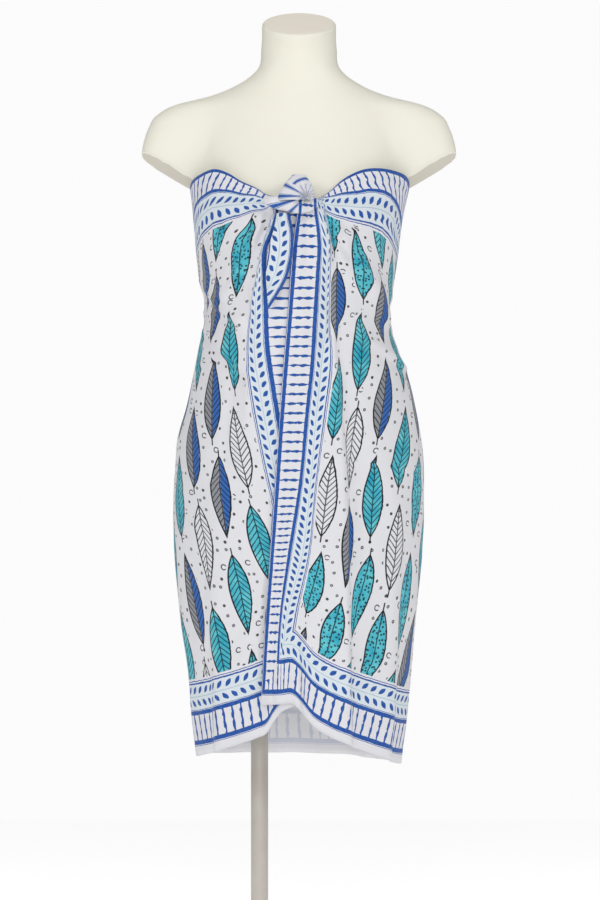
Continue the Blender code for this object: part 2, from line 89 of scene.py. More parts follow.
def ring_radius(rows, left, right, angle, z):
    """How far a rounded section reaches at an angle: 0 is the front, positive to the viewer's right."""
    half = np.where(np.sin(angle) < 0, read(rows, left, z), read(rows, right, z))
    depth = np.where(np.cos(angle) > 0, read(rows, "front", z), read(rows, "back", z))
    power = read(rows, "power", z)
    reach = (np.abs(np.sin(angle)) / half) ** power + (np.abs(np.cos(angle)) / depth) ** power
    return reach ** (-1.0 / power)


# %% [markdown]
# ## Sheets from one grid
# Every surface here is a sheet: the form's skin, the cloth, the knot's folds. Each starts as one flat
# `create_grid`, because its rows and columns are then known, and every corner can be sent to its place by
# a formula. A thin Solidify gives cloth its thickness on the inner side.

# %% Grid helper
PRINT_SCALE = 1.4
piece_collection = bpy.data.collections.new("finished_pieces")
bpy.context.scene.collection.children.link(piece_collection)


def grid_mesh(points, print_at=None):
    """A bmesh grid with corner (row, column) at points[row, column], and its print place as a UV map."""
    rows = points.shape[0] - 1
    columns = points.shape[1] - 1
    bm = bmesh.new()
    bmesh.ops.create_grid(bm, x_segments=columns, y_segments=rows, size=0.5)
    places = [(round((vert.co.y + 0.5) * rows), round((vert.co.x + 0.5) * columns)) for vert in bm.verts]
    for vert, place in zip(bm.verts, places):
        vert.co = points[place]
    if print_at is not None:
        layer = bm.loops.layers.uv.new("print")
        bm.verts.index_update()
        for face in bm.faces:
            for loop in face.loops:
                loop[layer].uv = print_at[places[loop.vert.index]]
    return bm


def unit_grid(rows, columns):
    """Shares from 0 to 1 up and along a grid with this many corners."""
    return np.meshgrid(np.linspace(0, 1, rows), np.linspace(0, 1, columns), indexing="ij")


def printed_grid(points, print_s, print_t):
    """A grid whose corners also know their place on the flat cloth, in metres."""
    return grid_mesh(points, np.stack([print_s, print_t], axis=-1) / PRINT_SCALE)


def sew(bm, distance=1e-6, close=False):
    """Join corners that meet, close what is still open where asked, and turn all faces outwards."""
    bmesh.ops.remove_doubles(bm, verts=bm.verts[:], dist=distance)
    if close:
        open_edges = [edge for edge in bm.edges if edge.is_boundary]
        bmesh.ops.holes_fill(bm, edges=open_edges, sides=0)
    bmesh.ops.recalc_face_normals(bm, faces=bm.faces[:])
    return bm


def finished(name, bm, sharp_angle=60):
    """Turn a bmesh into a smooth-shaded object at the origin."""
    mesh = bpy.data.meshes.new(name)
    bm.to_mesh(mesh)
    bm.free()
    mesh.shade_smooth()
    mesh.set_sharp_from_angle(angle=math.radians(sharp_angle))
    made = bpy.data.objects.new(name, mesh)
    piece_collection.objects.link(made)
    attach(made, "root")
    print(name, "has", len(mesh.polygons), "faces")
    return made


def thicken(piece, wall):
    """Give a sheet its thickness on the inside, with the second material on the inner face."""
    solidify = piece.modifiers.new("Cloth thickness", "SOLIDIFY")
    solidify.thickness = wall
    solidify.offset = -1.0
    solidify.material_offset = 1


# %% [markdown]
# ## The dress form
# The form is a moulded shell: trunk, chest, neck with a tilted flat cap, and short cut arm stubs. A maker
# would carve it as horizontal sections, so it is built from two sets of them, the trunk with the neck and
# the shoulders with the stubs, softly joined where they meet. Each stub ends on a plane: whatever would
# stand past that plane is pressed back onto it, with a small round where the two surfaces meet.

# %% Sections of the form
FORM_UNDERSIDE = 0.700
NECK_TILT = math.radians(22.3)
NECK_CAP_HEIGHT = 1.4845
NECK_RIM = 0.0045
STUB_INNER = Vector((0.1434, 0.0, 1.2467))
STUB_NORMAL = Vector((0.521, -0.223, -0.824)).normalized()
STUB_RIM = 0.0025
STUBS_START = 1.150

TRUNK = table("z half front back power", [
    (0.7, 0.16, 0.104, 0.11, 2.2), (0.786, 0.172, 0.115, 0.119, 2.2), (0.85, 0.1725, 0.1178, 0.1217, 2.2),
    (0.892, 0.169, 0.1165, 0.1195, 2.2), (0.935, 0.1575, 0.114, 0.113, 2.2),
    (0.978, 0.146, 0.111, 0.1045, 2.2), (1.02, 0.1345, 0.1095, 0.0955, 2.2),
    (1.063, 0.1235, 0.1095, 0.09, 2.2), (1.106, 0.128, 0.115, 0.0925, 2.2),
    (1.148, 0.1355, 0.1235, 0.097, 2.2), (1.191, 0.141, 0.1276, 0.0997, 2.3),
    (1.233, 0.144, 0.1195, 0.0975, 2.3), (1.27, 0.145, 0.1065, 0.094, 2.3),
    (1.304, 0.148, 0.091, 0.092, 2.2), (1.335, 0.148, 0.076, 0.089, 2.1), (1.369, 0.13, 0.061, 0.083, 2.0),
    (1.392, 0.094, 0.051, 0.074, 2.0), (1.404, 0.0746, 0.0485, 0.066, 2.0),
    (1.415, 0.0615, 0.048, 0.061, 2.0), (1.448, 0.0535, 0.049, 0.056, 2.0),
    (1.48, 0.0525, 0.053, 0.053, 2.0), (1.52, 0.0525, 0.057, 0.05, 2.0),
])
SHOULDERS = table("z half front back power", [
    (1.215, 0.12, 0.025, 0.035, 2.0), (1.236, 0.138, 0.034, 0.042, 2.4), (1.255, 0.174, 0.043, 0.05, 2.8),
    (1.275, 0.208, 0.046, 0.053, 3.0), (1.288, 0.222, 0.047, 0.0545, 3.0),
    (1.304, 0.2225, 0.0475, 0.056, 3.0), (1.32, 0.219, 0.0475, 0.0565, 2.9),
    (1.335, 0.2135, 0.047, 0.056, 2.7), (1.352, 0.203, 0.045, 0.055, 2.5),
    (1.369, 0.171, 0.042, 0.053, 2.3), (1.38, 0.126, 0.039, 0.05, 2.0), (1.392, 0.085, 0.035, 0.046, 2.0),
    (1.41, 0.04, 0.03, 0.04, 2.0),
])
SHOULDER_BLEND = 0.020
BUST_DIP = 0.0080
BUST_HEIGHT = 1.195


def form_radius(angle, z):
    """Trunk and shoulders joined by a soft blend, with a shallow dip between the two sides of the bust."""
    trunk = ring_radius(TRUNK, "half", "half", angle, z)
    trunk = trunk - BUST_DIP * np.exp(-(angle / 0.20) ** 2 - ((z - BUST_HEIGHT) / 0.045) ** 2)
    arms = ring_radius(SHOULDERS, "half", "half", angle, z)
    arms = np.where((z < SHOULDERS["z"][0]) | (z > SHOULDERS["z"][-1]), 0.0, arms)
    near = np.clip(SHOULDER_BLEND - np.abs(trunk - arms), 0.0, SHOULDER_BLEND)
    return np.maximum(trunk, arms) + near * near / (4 * SHOULDER_BLEND)


# %% Press the stubs flat and tilt the neck
FORM_SIDES = 144
NECK_TILT_START = 1.430
NECK_RADIUS = 0.052
CUTS_START = 1.20


def press_stubs(points):
    """Press whatever stands past a stub's plane back onto it, with a small round at the rim."""
    side = np.sign(points[..., 0])
    normal = np.stack([side * STUB_NORMAL.x, np.full_like(side, STUB_NORMAL.y),
                       np.full_like(side, STUB_NORMAL.z)], axis=-1)
    inner = np.stack([side * STUB_INNER.x, 0 * side, 0 * side + STUB_INNER.z], axis=-1)
    past = ((points - inner) * normal).sum(axis=-1)
    rounded = np.clip(past + STUB_RIM, 0.0, 2 * STUB_RIM) ** 2 / (4 * STUB_RIM)
    pressed = np.where(past > STUB_RIM, past, rounded)
    share = smooth_step((np.abs(points[..., 0]) - STUB_INNER.x) / 0.004) * (points[..., 2] > STUBS_START)
    return points - normal * (pressed * share)[..., None]


def cut_directions():
    """The way the neck's cap and the two stub cuts face."""
    cap = Vector((0.0, -math.sin(NECK_TILT), math.cos(NECK_TILT)))
    return cap, STUB_NORMAL, Vector((-STUB_NORMAL.x, STUB_NORMAL.y, STUB_NORMAL.z))


def form_rows():
    """Ring heights: wide apart on the trunk, close where the stubs and the neck turn."""
    spans = [(FORM_UNDERSIDE, 1.190, 24), (1.190, 1.300, 50), (1.300, 1.412, 42),
             (1.412, NECK_CAP_HEIGHT, 14)]
    return np.concatenate([np.linspace(low, high, count, endpoint=False) for low, high, count in spans])


def make_form():
    turn = np.linspace(0.0, 2 * math.pi, FORM_SIDES + 1)
    around = np.arctan2(1.5 * np.sin(turn), np.cos(turn))
    z, angle = np.meshgrid(form_rows(), around, indexing="ij")
    radius = form_radius(angle, z)
    y = -radius * np.cos(angle)
    tilt = smooth_step((z - NECK_TILT_START) / (NECK_CAP_HEIGHT - NECK_TILT_START))
    points = np.stack([radius * np.sin(angle), y, z + tilt * y * math.tan(NECK_TILT)], axis=-1)
    rim = points[-1]
    middle = np.array([0.0, 0.0, rim[:, 2].mean()])
    up = np.array([0.0, -math.sin(NECK_TILT), math.cos(NECK_TILT)])
    caps = []
    for step in range(1, 7):
        quarter = step * math.pi / 12
        inwards = 1 - NECK_RIM / NECK_RADIUS * (1 - math.cos(quarter))
        caps.append(middle + (rim - middle) * inwards + up * NECK_RIM * math.sin(quarter))
    for share in (0.7, 0.4, 0.1):
        caps.append(middle + (caps[5] - middle - up * NECK_RIM) * share + up * NECK_RIM)
    points = press_stubs(np.concatenate([points, np.array(caps)]))
    bm = sew(grid_mesh(points), 1e-5, close=True)
    # Faces on the neck's cap get the second material, painted lighter as painted light; faces on the stub
    # cuts get the third, painted darker as painted shade.
    for face in bm.faces:
        if face.calc_center_median().z > CUTS_START:
            for index, direction in enumerate(cut_directions()):
                if face.normal.angle(direction) < math.radians(3):
                    face.material_index = min(index + 1, 2)
    return finished("form_skin", bm)


form_skin = make_form()
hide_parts("form_torso")

# %% [markdown]
# ## The stand
# The form sits on a turned metal stand: a weighted round plate, a collar, a tube, and a flange under the
# form. Each is turned on a lathe, so each starts as a `create_cone` with many sides and gets its edges
# rounded with a bevel. The sizes come from the imported model's boxes.

# %% Turned metal pieces
STAND_SIDES = 96


def turned(name, node, edge, edge_segments):
    """A round piece that fills a node's box, with rounded edges."""
    low, high = (Vector(corner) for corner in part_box(node))
    middle = (low + high) / 2
    radius = (high.x - low.x) / 2
    bm = bmesh.new()
    bmesh.ops.create_cone(bm, cap_ends=True, segments=STAND_SIDES, radius1=radius, radius2=radius,
                          depth=high.z - low.z, matrix=Matrix.Translation(middle))
    rims = [line for line in bm.edges if abs(line.verts[0].co.z - line.verts[1].co.z) < 1e-6]
    bmesh.ops.bevel(bm, geom=rims, offset=edge, offset_type="OFFSET", segments=edge_segments, affect="EDGES",
                    profile=0.5, material=-1)
    made = finished(name, bm, 50)
    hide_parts(node)
    return made


stand_pieces = [
    turned("stand_plate", "base_plate", 0.0030, 5),
    turned("stand_collar", "base_collar", 0.0025, 4),
    turned("stand_tube", "pole", 0.0006, 2),
    turned("stand_flange", "pole_flange", 0.0020, 4),
]

# %% [markdown]
# ## The shape that the cloth hangs in
# The cloth follows the body down to the hips and then falls almost straight. Its sections are half widths
# to the viewer's left and right with depths to the front and back. Its top edge rises in two soft humps
# over the bust, and its hem opens in an upturned V at the front, where the two free corners meet.

# %% Sections, edges and hems of the cloth
CLOTH = table("z left right front back power", [
    (0.42, 0.138, 0.138, 0.1215, 0.129, 2.2), (0.444, 0.1405, 0.14, 0.1215, 0.1285, 2.2),
    (0.509, 0.149, 0.149, 0.121, 0.127, 2.2), (0.551, 0.153, 0.1535, 0.121, 0.126, 2.2),
    (0.637, 0.1665, 0.162, 0.121, 0.125, 2.2), (0.722, 0.175, 0.172, 0.121, 0.125, 2.2),
    (0.786, 0.1775, 0.1765, 0.121, 0.125, 2.2), (0.85, 0.175, 0.1765, 0.12, 0.124, 2.2),
    (0.892, 0.172, 0.173, 0.119, 0.122, 2.2), (0.935, 0.16, 0.165, 0.118, 0.117, 2.2),
    (0.978, 0.151, 0.1545, 0.117, 0.109, 2.2), (1.02, 0.142, 0.14, 0.116, 0.1, 2.2),
    (1.063, 0.133, 0.127, 0.117, 0.094, 2.2), (1.106, 0.135, 0.133, 0.122, 0.096, 2.2),
    (1.148, 0.1445, 0.1385, 0.128, 0.1, 2.2), (1.191, 0.148, 0.144, 0.13, 0.102, 2.3),
    (1.233, 0.152, 0.152, 0.125, 0.101, 2.4), (1.26, 0.156, 0.158, 0.116, 0.099, 2.6),
    (1.29, 0.158, 0.16, 0.104, 0.097, 2.6),
])
TOP_EDGE = table("degrees z", [
    (-180, 1.218), (-140, 1.22), (-110, 1.226), (-96, 1.234), (-87, 1.242), (-76, 1.2535), (-63, 1.2645),
    (-53, 1.271), (-45, 1.265), (-36, 1.2525), (-27, 1.243), (-21, 1.2345), (-14, 1.23), (0, 1.229),
    (14, 1.23), (20, 1.2388), (27, 1.2528), (34, 1.2627), (42, 1.27), (51, 1.272), (59, 1.27), (68, 1.265),
    (78, 1.255), (87, 1.2425), (96, 1.234), (110, 1.226), (140, 1.22), (180, 1.218),
])
HEM_OVER = table("degrees z", [
    (-24, 0.524), (-12, 0.524), (-3, 0.524), (2, 0.513), (8, 0.4965), (20, 0.4785), (32, 0.4665),
    (48, 0.453), (68, 0.439), (88, 0.433), (120, 0.432), (150, 0.437), (180, 0.439),
])
HEM_UNDER = table("degrees z", [
    (-180, 0.439), (-150, 0.44), (-110, 0.443), (-88, 0.444), (-62, 0.452), (-38, 0.468), (-27, 0.477),
    (-20.5, 0.485), (-17, 0.498), (-12, 0.512), (-5, 0.52), (5, 0.526), (24, 0.53),
])
EDGE_OVER = table("z x", [
    (0.4, -0.0545), (0.524, -0.0515), (0.6, -0.048), (0.685, -0.0425), (0.79, -0.037), (0.873, -0.03),
    (0.99, -0.0222), (1.062, -0.0163), (1.16, -0.009), (1.23, 0.0005),
])
EDGE_UNDER = table("z x", [
    (0.4, 0.051), (0.524, 0.048), (0.7, 0.04), (0.9, 0.028), (1.1, 0.019), (1.23, 0.015),
])


def cloth_point(angle, z, out):
    """The point of the cloth's outer surface at an angle and height, moved out by a distance."""
    small = 1e-3
    radius = ring_radius(CLOTH, "left", "right", angle, z)
    slope = ring_radius(CLOTH, "left", "right", angle + small, z)
    slope = (slope - ring_radius(CLOTH, "left", "right", angle - small, z)) / (2 * small)
    along_x = slope * np.sin(angle) + radius * np.cos(angle)
    along_y = -slope * np.cos(angle) + radius * np.sin(angle)
    length = np.hypot(along_x, along_y)
    x = radius * np.sin(angle) + out * along_y / length
    y = -radius * np.cos(angle) - out * along_x / length
    return np.stack([x, y, z], axis=-1)


def front_angle(x, z):
    """The angle at which the cloth's front passes a given x."""
    half = np.where(x < 0, read(CLOTH, "left", z), read(CLOTH, "right", z))
    power = read(CLOTH, "power", z)
    depth = read(CLOTH, "front", z) * (1 - (np.abs(x) / half) ** power) ** (1 / power)
    return np.arctan2(x, depth)


def edge_angle(edge, z):
    return front_angle(read(edge, "x", z), z)


# %% [markdown]
# ## Folds and creases
# Cloth that is pulled to a knot shows long drag folds that fan out from it, soft drags at the waist and
# hanging folds below the hips. Each is one row: where it starts and ends, how high it stands there, and
# how wide it is on its two sides. Where folds cross, the higher one wins softly, as in real cloth. The
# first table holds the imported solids' folds. The second adds the finer creases between them. The third
# has the valleys, where some of the cloth is tucked out of sight and the print is broken.

# %% Fold tables
UNROLL_RADIUS = 0.135
FOLDS = table("start start_z end end_z start_rise end_rise left right", [
    (13, 1.205, 27, 1.148, 0.005, 0.0115, 0.016, 0.016),
    (27, 1.148, 70, 1.068, 0.0115, 0.008, 0.017, 0.017), (9, 1.19, 11, 1.03, 0.007, 0.008, 0.014, 0.01),
    (11, 1.03, 9, 0.93, 0.008, 0.003, 0.014, 0.01), (17, 1.214, 62, 1.205, 0.007, 0.0025, 0.01, 0.01),
    (22, 1.06, 27, 0.86, 0.003, 0.009, 0.018, 0.01), (27, 0.86, 31, 0.44, 0.009, 0.009, 0.02, 0.011),
    (-15, 1.195, -30, 1.08, 0.01, 0.0085, 0.012, 0.009),
    (-23, 1.195, -52, 1.095, 0.006, 0.006, 0.011, 0.011),
    (-19, 1.219, -62, 1.212, 0.007, 0.0025, 0.01, 0.01),
    (-84, 1.112, -42, 1.056, 0.005, 0.0065, 0.012, 0.01),
    (-76, 1.046, -34, 0.985, 0.004, 0.006, 0.013, 0.011),
    (-32, 0.985, -34, 0.86, 0.0055, 0.0025, 0.012, 0.014),
    (44, 1.03, 82, 0.992, 0.0045, 0.0055, 0.012, 0.012), (-3, 0.9, -8, 0.66, 0.001, 0.0035, 0.014, 0.014),
    (-17, 0.69, -18, 0.52, 0.0035, 0.009, 0.016, 0.008), (-2, 0.62, 0, 0.5, 0.0025, 0.008, 0.011, 0.009),
    (58, 0.82, 60, 0.43, 0.002, 0.008, 0.018, 0.018), (-50, 0.8, -52, 0.44, 0.002, 0.007, 0.018, 0.018),
    (-77, 0.74, -79, 0.44, 0.0015, 0.006, 0.018, 0.018), (86, 0.72, 87, 0.43, 0.0015, 0.006, 0.018, 0.018),
    (112, 1.076, 164, 1.005, 0.005, 0.007, 0.014, 0.014),
    (-112, 1.08, -160, 1.015, 0.005, 0.007, 0.014, 0.014),
    (-176, 1.1, -176, 0.96, 0.003, 0.0045, 0.016, 0.016),
    (120, 0.76, 122, 0.43, 0.002, 0.0095, 0.018, 0.018),
    (152, 0.72, 150, 0.43, 0.002, 0.0105, 0.018, 0.018),
    (-176, 0.76, -177, 0.43, 0.0015, 0.0085, 0.018, 0.018),
    (-146, 0.72, -148, 0.43, 0.002, 0.0105, 0.018, 0.018),
    (-115, 0.78, -117, 0.43, 0.002, 0.009, 0.018, 0.018),
])
CREASES = table("start start_z end end_z start_rise end_rise left right", [
    (13, 1.221, 34, 1.236, 0.0035, 0.0006, 0.005, 0.005),
    (13, 1.216, 44, 1.222, 0.0035, 0.0008, 0.005, 0.004),
    (13, 1.209, 50, 1.19, 0.003, 0.0008, 0.005, 0.004), (13, 1.202, 40, 1.165, 0.003, 0.0008, 0.005, 0.004),
    (-15, 1.222, -36, 1.237, 0.0035, 0.0006, 0.005, 0.005),
    (-15, 1.217, -46, 1.224, 0.0035, 0.0008, 0.004, 0.005),
    (-15, 1.21, -52, 1.192, 0.003, 0.0008, 0.005, 0.004),
    (-14, 1.203, -40, 1.15, 0.0035, 0.001, 0.005, 0.004),
    (-13, 1.195, -25, 1.13, 0.0035, 0.001, 0.005, 0.004), (5, 1.195, 4, 1.08, 0.002, 0.0004, 0.005, 0.005),
    (58, 1.11, 86, 1.092, 0.0005, 0.0022, 0.008, 0.006),
    (50, 1.072, 84, 1.052, 0.0006, 0.0022, 0.008, 0.006),
    (-86, 1.072, -60, 1.066, 0.0022, 0.0005, 0.007, 0.007),
    (-88, 1.13, -62, 1.105, 0.002, 0.0005, 0.007, 0.007),
    (98, 1.1, 128, 1.064, 0.0018, 0.001, 0.008, 0.008),
    (-99, 1.105, -126, 1.07, 0.0018, 0.001, 0.008, 0.008),
    (104, 1.02, 150, 0.968, 0.0012, 0.0022, 0.009, 0.009),
    (-106, 1.016, -148, 0.974, 0.0012, 0.0022, 0.009, 0.009),
    (170, 1.205, 172, 1.12, 0.0016, 0.0006, 0.007, 0.007),
    (-158, 1.206, -154, 1.13, 0.0016, 0.0006, 0.007, 0.007),
    (142, 1.207, 146, 1.14, 0.0014, 0.0005, 0.007, 0.007),
    (14, 0.64, 16, 0.48, 0.0006, 0.002, 0.009, 0.009), (45, 0.6, 46, 0.45, 0.0005, 0.0018, 0.01, 0.01),
    (-36, 0.6, -35, 0.47, 0.0005, 0.0018, 0.01, 0.01), (-66, 0.62, -67, 0.45, 0.0005, 0.0018, 0.01, 0.01),
])
VALLEYS = table("start start_z end end_z start_rise end_rise left right", [
    (-18, 1.205, -34, 1.07, 0.0095, 0.0075, 0.006, 0.003),
    (15, 1.214, 20, 1.17, 0.006, 0.009, 0.003, 0.005), (20, 1.17, 20, 1.04, 0.009, 0.005, 0.003, 0.0055),
    (24, 1.165, 46, 1.098, 0.0065, 0.005, 0.007, 0.007), (25, 1.05, 31, 0.86, 0.003, 0.0055, 0.003, 0.009),
    (31, 0.86, 35, 0.44, 0.0055, 0.005, 0.003, 0.01), (-82, 1.103, -46, 1.05, 0.005, 0.0065, 0.006, 0.009),
    (-72, 1.037, -38, 0.976, 0.0045, 0.006, 0.006, 0.009),
    (-43, 1.0, -46, 0.84, 0.0045, 0.0015, 0.006, 0.0035),
    (46, 1.022, 84, 0.984, 0.0045, 0.0055, 0.009, 0.006), (2, 0.61, 3, 0.5, 0.003, 0.0065, 0.003, 0.007),
    (-27, 1.19, -50, 1.105, 0.005, 0.004, 0.007, 0.007),
    (17, 1.207, 50, 1.196, 0.003, 0.0006, 0.004, 0.004),
    (-19, 1.211, -50, 1.203, 0.003, 0.0006, 0.004, 0.004), (64, 0.78, 67, 0.44, 0.001, 0.0045, 0.005, 0.01),
    (-56, 0.76, -58, 0.45, 0.001, 0.004, 0.01, 0.005),
    (116, 1.062, 160, 0.994, 0.002, 0.0035, 0.006, 0.006),
    (-116, 1.066, -156, 1.004, 0.002, 0.0035, 0.006, 0.006),
    (136, 0.7, 137, 0.44, 0.001, 0.0045, 0.008, 0.008),
    (-132, 0.7, -133, 0.44, 0.001, 0.0045, 0.008, 0.008), (168, 0.7, 167, 0.44, 0.001, 0.004, 0.008, 0.008),
    (-160, 0.7, -161, 0.44, 0.001, 0.004, 0.008, 0.008),
])
RIPPLE = 0.00022
LOWEST_RISE = -0.0004
HANGING = {name: column[np.abs(VALLEYS["end"] - VALLEYS["start"]) < 7] for name, column in VALLEYS.items()}


def rise_of(rows, angle, z):
    """How far a table's folds lift the cloth off its plain sections."""
    blend = 4
    total = np.zeros_like(angle)
    for row in zip(*rows.values()):
        start, start_z, end, end_z, start_rise, end_rise, left, right = row
        along = np.array([math.radians(end - start) * UNROLL_RADIUS, end_z - start_z])
        turn = np.mod(angle - math.radians(start) + math.pi, 2 * math.pi) - math.pi
        across = turn * UNROLL_RADIUS
        down = z - start_z
        t = np.clip((across * along[0] + down * along[1]) / along.dot(along), 0.0, 1.0)
        away_x = across - t * along[0]
        away_z = down - t * along[1]
        side = away_x * along[1] - away_z * along[0]
        width = np.where(side < 0, right, left)
        rise = (start_rise + (end_rise - start_rise) * t) * np.exp(-(away_x ** 2 + away_z ** 2) / width ** 2)
        total += rise ** blend
    return total ** (1 / blend)


def ripple(angle, z):
    """Slight unevenness everywhere, from a few waves of unlike lengths."""
    waves = [(7.0, 23.0, 0.4), (11.0, -31.0, 1.9), (17.0, 47.0, 3.1), (5.0, -64.0, 5.2)]
    total = sum(np.sin(turns * angle + climbs * z + start) for turns, climbs, start in waves)
    return RIPPLE * (total + len(waves))


def fold_rise(angle, z):
    raised = rise_of(FOLDS, angle, z) + rise_of(CREASES, angle, z) + ripple(angle, z)
    return np.maximum(raised - rise_of(VALLEYS, angle, z), LOWEST_RISE)


# %% [markdown]
# ## One cloth, wound round once
# The real wrap is one piece: it starts at the free edge in front, goes round the viewer's right, the back
# and the left, and ends in a hidden edge under its own beginning. A single sheet that winds the same way
# has no seams to hide. Its columns are closer at the front, and its rows closer at the top, where the
# folds are finest.

# %% Wind the sheet
CLOTH_COLUMNS = 300
CLOTH_ROWS = 152
CLOTH_THICKNESS = 0.0007
LAYER_STEP = 0.0024
LAYER_BLEND = math.radians(22)
FRONT_CROWDING = 0.58
TOP_CROWDING = 1.45


def hem_height(turn):
    """The hem all along the winding: the stretch on top first, then the one underneath."""
    first = read(HEM_OVER, "z", turn)
    second = read(HEM_UNDER, "z", turn - 2 * math.pi)
    return np.where(turn < math.pi, first, second)


def top_height(turn):
    wrapped = np.where(turn < math.pi, turn, turn - 2 * math.pi)
    return read(TOP_EDGE, "z", wrapped)


def wound_sheet():
    """The turn and height of every corner of the winding sheet."""
    u = np.linspace(0.0, 1.0, CLOTH_COLUMNS + 1)
    u = u - FRONT_CROWDING * np.sin(2 * math.pi * u) / (2 * math.pi)
    v = np.linspace(0.0, 1.0, CLOTH_ROWS + 1)
    v, u = np.meshgrid(v * (TOP_CROWDING - (TOP_CROWDING - 1) * v), u, indexing="ij")
    z = np.full_like(u, 0.85)
    for _ in range(8):
        first = edge_angle(EDGE_OVER, z)
        last = 2 * math.pi + edge_angle(EDGE_UNDER, z)
        turn = first + (last - first) * u
        z = hem_height(turn) + (top_height(turn) - hem_height(turn)) * v
    return turn, z


def wound_rise(turn, z):
    """How far the cloth stands off its plain sections all along the winding."""
    beginning = turn < math.pi
    angle = np.where(beginning, turn, turn - 2 * math.pi)
    folds = fold_rise(angle, z)
    past_under = (angle - edge_angle(EDGE_UNDER, z)) / LAYER_BLEND
    on_top = folds + LAYER_STEP * (1 - smooth_step(past_under))
    past_over = (angle - edge_angle(EDGE_OVER, z)) / math.radians(5)
    underneath = folds * (1 - smooth_step(past_over + 1))
    return angle, np.where(beginning, on_top, underneath)


turn, height = wound_sheet()
angle, rise = wound_rise(turn, height)
cloth_points = cloth_point(angle, height, rise)
print("cloth winds", round(math.degrees((turn[:, -1] - turn[:, 0]).mean())), "degrees on average")

# %% [markdown]
# ## Where each point of the print lies
# A print is made on flat cloth, so every corner of the sheet needs its place on the flat rectangle: `s`
# along the cloth from its free edge, and `t` up from the hem. Near the two side edges and along the top,
# the lines of the border are placed by short tables of where they show, so the top border gets narrow
# where the cloth is pulled together at the knot. Between the side borders the cloth runs at its real
# length, and what is left over is taken up little by little towards the back, as gathers would. Up from
# the hem, the border and the ground keep their size.

# %% Places on the flat cloth
CUT_WIDTH = 1.12
CUT_HEIGHT = 0.845
MARGIN = 0.013
BORDER = 0.0915
TUCK = 200.0
LEVEL_HEM = 0.470
LEVEL_TOP = 1.218
HEM_REACH = 0.20
TOP_REACH = 0.16
TOP_LEAN = 0.70
RAIL = 0.0470
BORDER_LINES = np.array([0.0, 0.0085, 0.0435, 0.0505, 0.0690, BORDER])
PRINT_TOP = CUT_HEIGHT + 0.0020
FRONT_END = math.radians(80)
BACK_END = math.radians(280)

OVER_LINES = table("z edge stripe ladder rail stem end", [
    (0.5246, -0.0515, -0.0465, -0.0318, -0.0282, -0.024, -0.016),
    (0.6443, -0.0459, -0.04, -0.0268, -0.0234, -0.0175, -0.0028),
    (0.7291, -0.0404, -0.0345, -0.016, -0.0108, 0.004, 0.0146),
    (0.8335, -0.0333, -0.0265, 0.0, 0.0055, 0.0162, 0.025),
    (0.9288, -0.027, -0.02, 0.0086, 0.0146, 0.0239, 0.0376),
    (0.9955, -0.0218, -0.0148, 0.0153, 0.0213, 0.0306, 0.0452),
    (1.062, -0.0163, -0.0093, 0.0186, 0.025, 0.0372, 0.0424),
    (1.1285, -0.0113, -0.0043, 0.0226, 0.0292, 0.0388, 0.044),
    (1.1605, -0.009, -0.002, 0.0247, 0.0309, 0.0392, 0.044),
    (1.212, -0.0015, 0.004, 0.0205, 0.025, 0.03, 0.0348),
])
UNDER_LINES = table("z edge stripe ladder rail stem end", [
    (0.5301, 0.048, 0.044, 0.0264, 0.02, 0.012, 0.0014),
    (0.725, 0.0385, 0.033, 0.0083, 0.0018, -0.01, -0.0223),
    (0.7904, 0.0345, 0.028, -0.0014, -0.0082, -0.0212, -0.0348),
    (0.8725, 0.0296, 0.021, -0.0167, -0.0243, -0.0385, -0.0529),
    (0.9601, 0.025, 0.014, -0.032, -0.0398, -0.054, -0.0675),
    (1.0283, 0.022, 0.01, -0.0412, -0.0492, -0.0625, -0.0724),
    (1.0868, 0.0195, 0.008, -0.0428, -0.0503, -0.0575, -0.0645),
    (1.116, 0.0185, 0.008, -0.0433, -0.0502, -0.0542, -0.0582),
    (1.14, 0.0178, 0.008, -0.0434, -0.0505, -0.0528, -0.0552),
    (1.16, 0.017, 0.008, -0.0415, -0.0485, -0.05, -0.0518),
    (1.18, 0.0165, 0.0085, -0.0337, -0.0402, -0.0416, -0.0434),
    (1.2051, 0.0158, 0.009, -0.0285, -0.0325, -0.0336, -0.035),
])
TOP_LINES = table("degrees rail end", [
    (-180, 0.047, 0.0915), (-120, 0.047, 0.0915), (-90, 0.045, 0.0935), (-76, 0.04, 0.094),
    (-64, 0.0345, 0.087), (-55, 0.0331, 0.0835), (-48, 0.029, 0.0765), (-38.6, 0.0202, 0.0575),
    (-30, 0.0137, 0.0405), (-24, 0.0089, 0.0295), (-17, 0.0045, 0.015), (-14, 0.002, 0.006),
    (-10, 0.0005, 0.0015), (0, 0.0004, 0.0012), (8, 0.0004, 0.0012), (11, 0.0006, 0.002),
    (12.5, 0.001, 0.006), (15.5, 0.0022, 0.022), (20.5, 0.0085, 0.0381), (27, 0.0187, 0.0561),
    (36, 0.0288, 0.0739), (45, 0.032, 0.085), (52.5, 0.0346, 0.0907), (58.4, 0.0385, 0.096),
    (63.4, 0.044, 0.1), (69, 0.05, 0.104), (78, 0.056, 0.105), (92, 0.054, 0.099), (120, 0.047, 0.0915),
    (180, 0.047, 0.0915),
])


def border_place(lines, x, z):
    """How far in from its edge a point lies, read between the border's lines, and whether it is past them."""
    names = "edge stripe ladder rail stem end".split()
    at = [read(lines, name, z) for name in names]
    place = np.zeros_like(x)
    for near, far, low, high in zip(at, at[1:], BORDER_LINES, BORDER_LINES[1:]):
        place += (high - low) * np.clip((x - near) / (far - near), 0.0, 1.0)
    return place, (x - at[-1]) / (at[-1] - at[0])


def top_band(turn, angle):
    """How far below the top edge its rail and its border's end show, and the height of that end."""
    rail = np.maximum(read(TOP_LINES, "rail", angle), 0.0004)
    end = np.maximum(read(TOP_LINES, "end", angle), rail + 0.0006)
    return rail, end, top_height(turn) - end


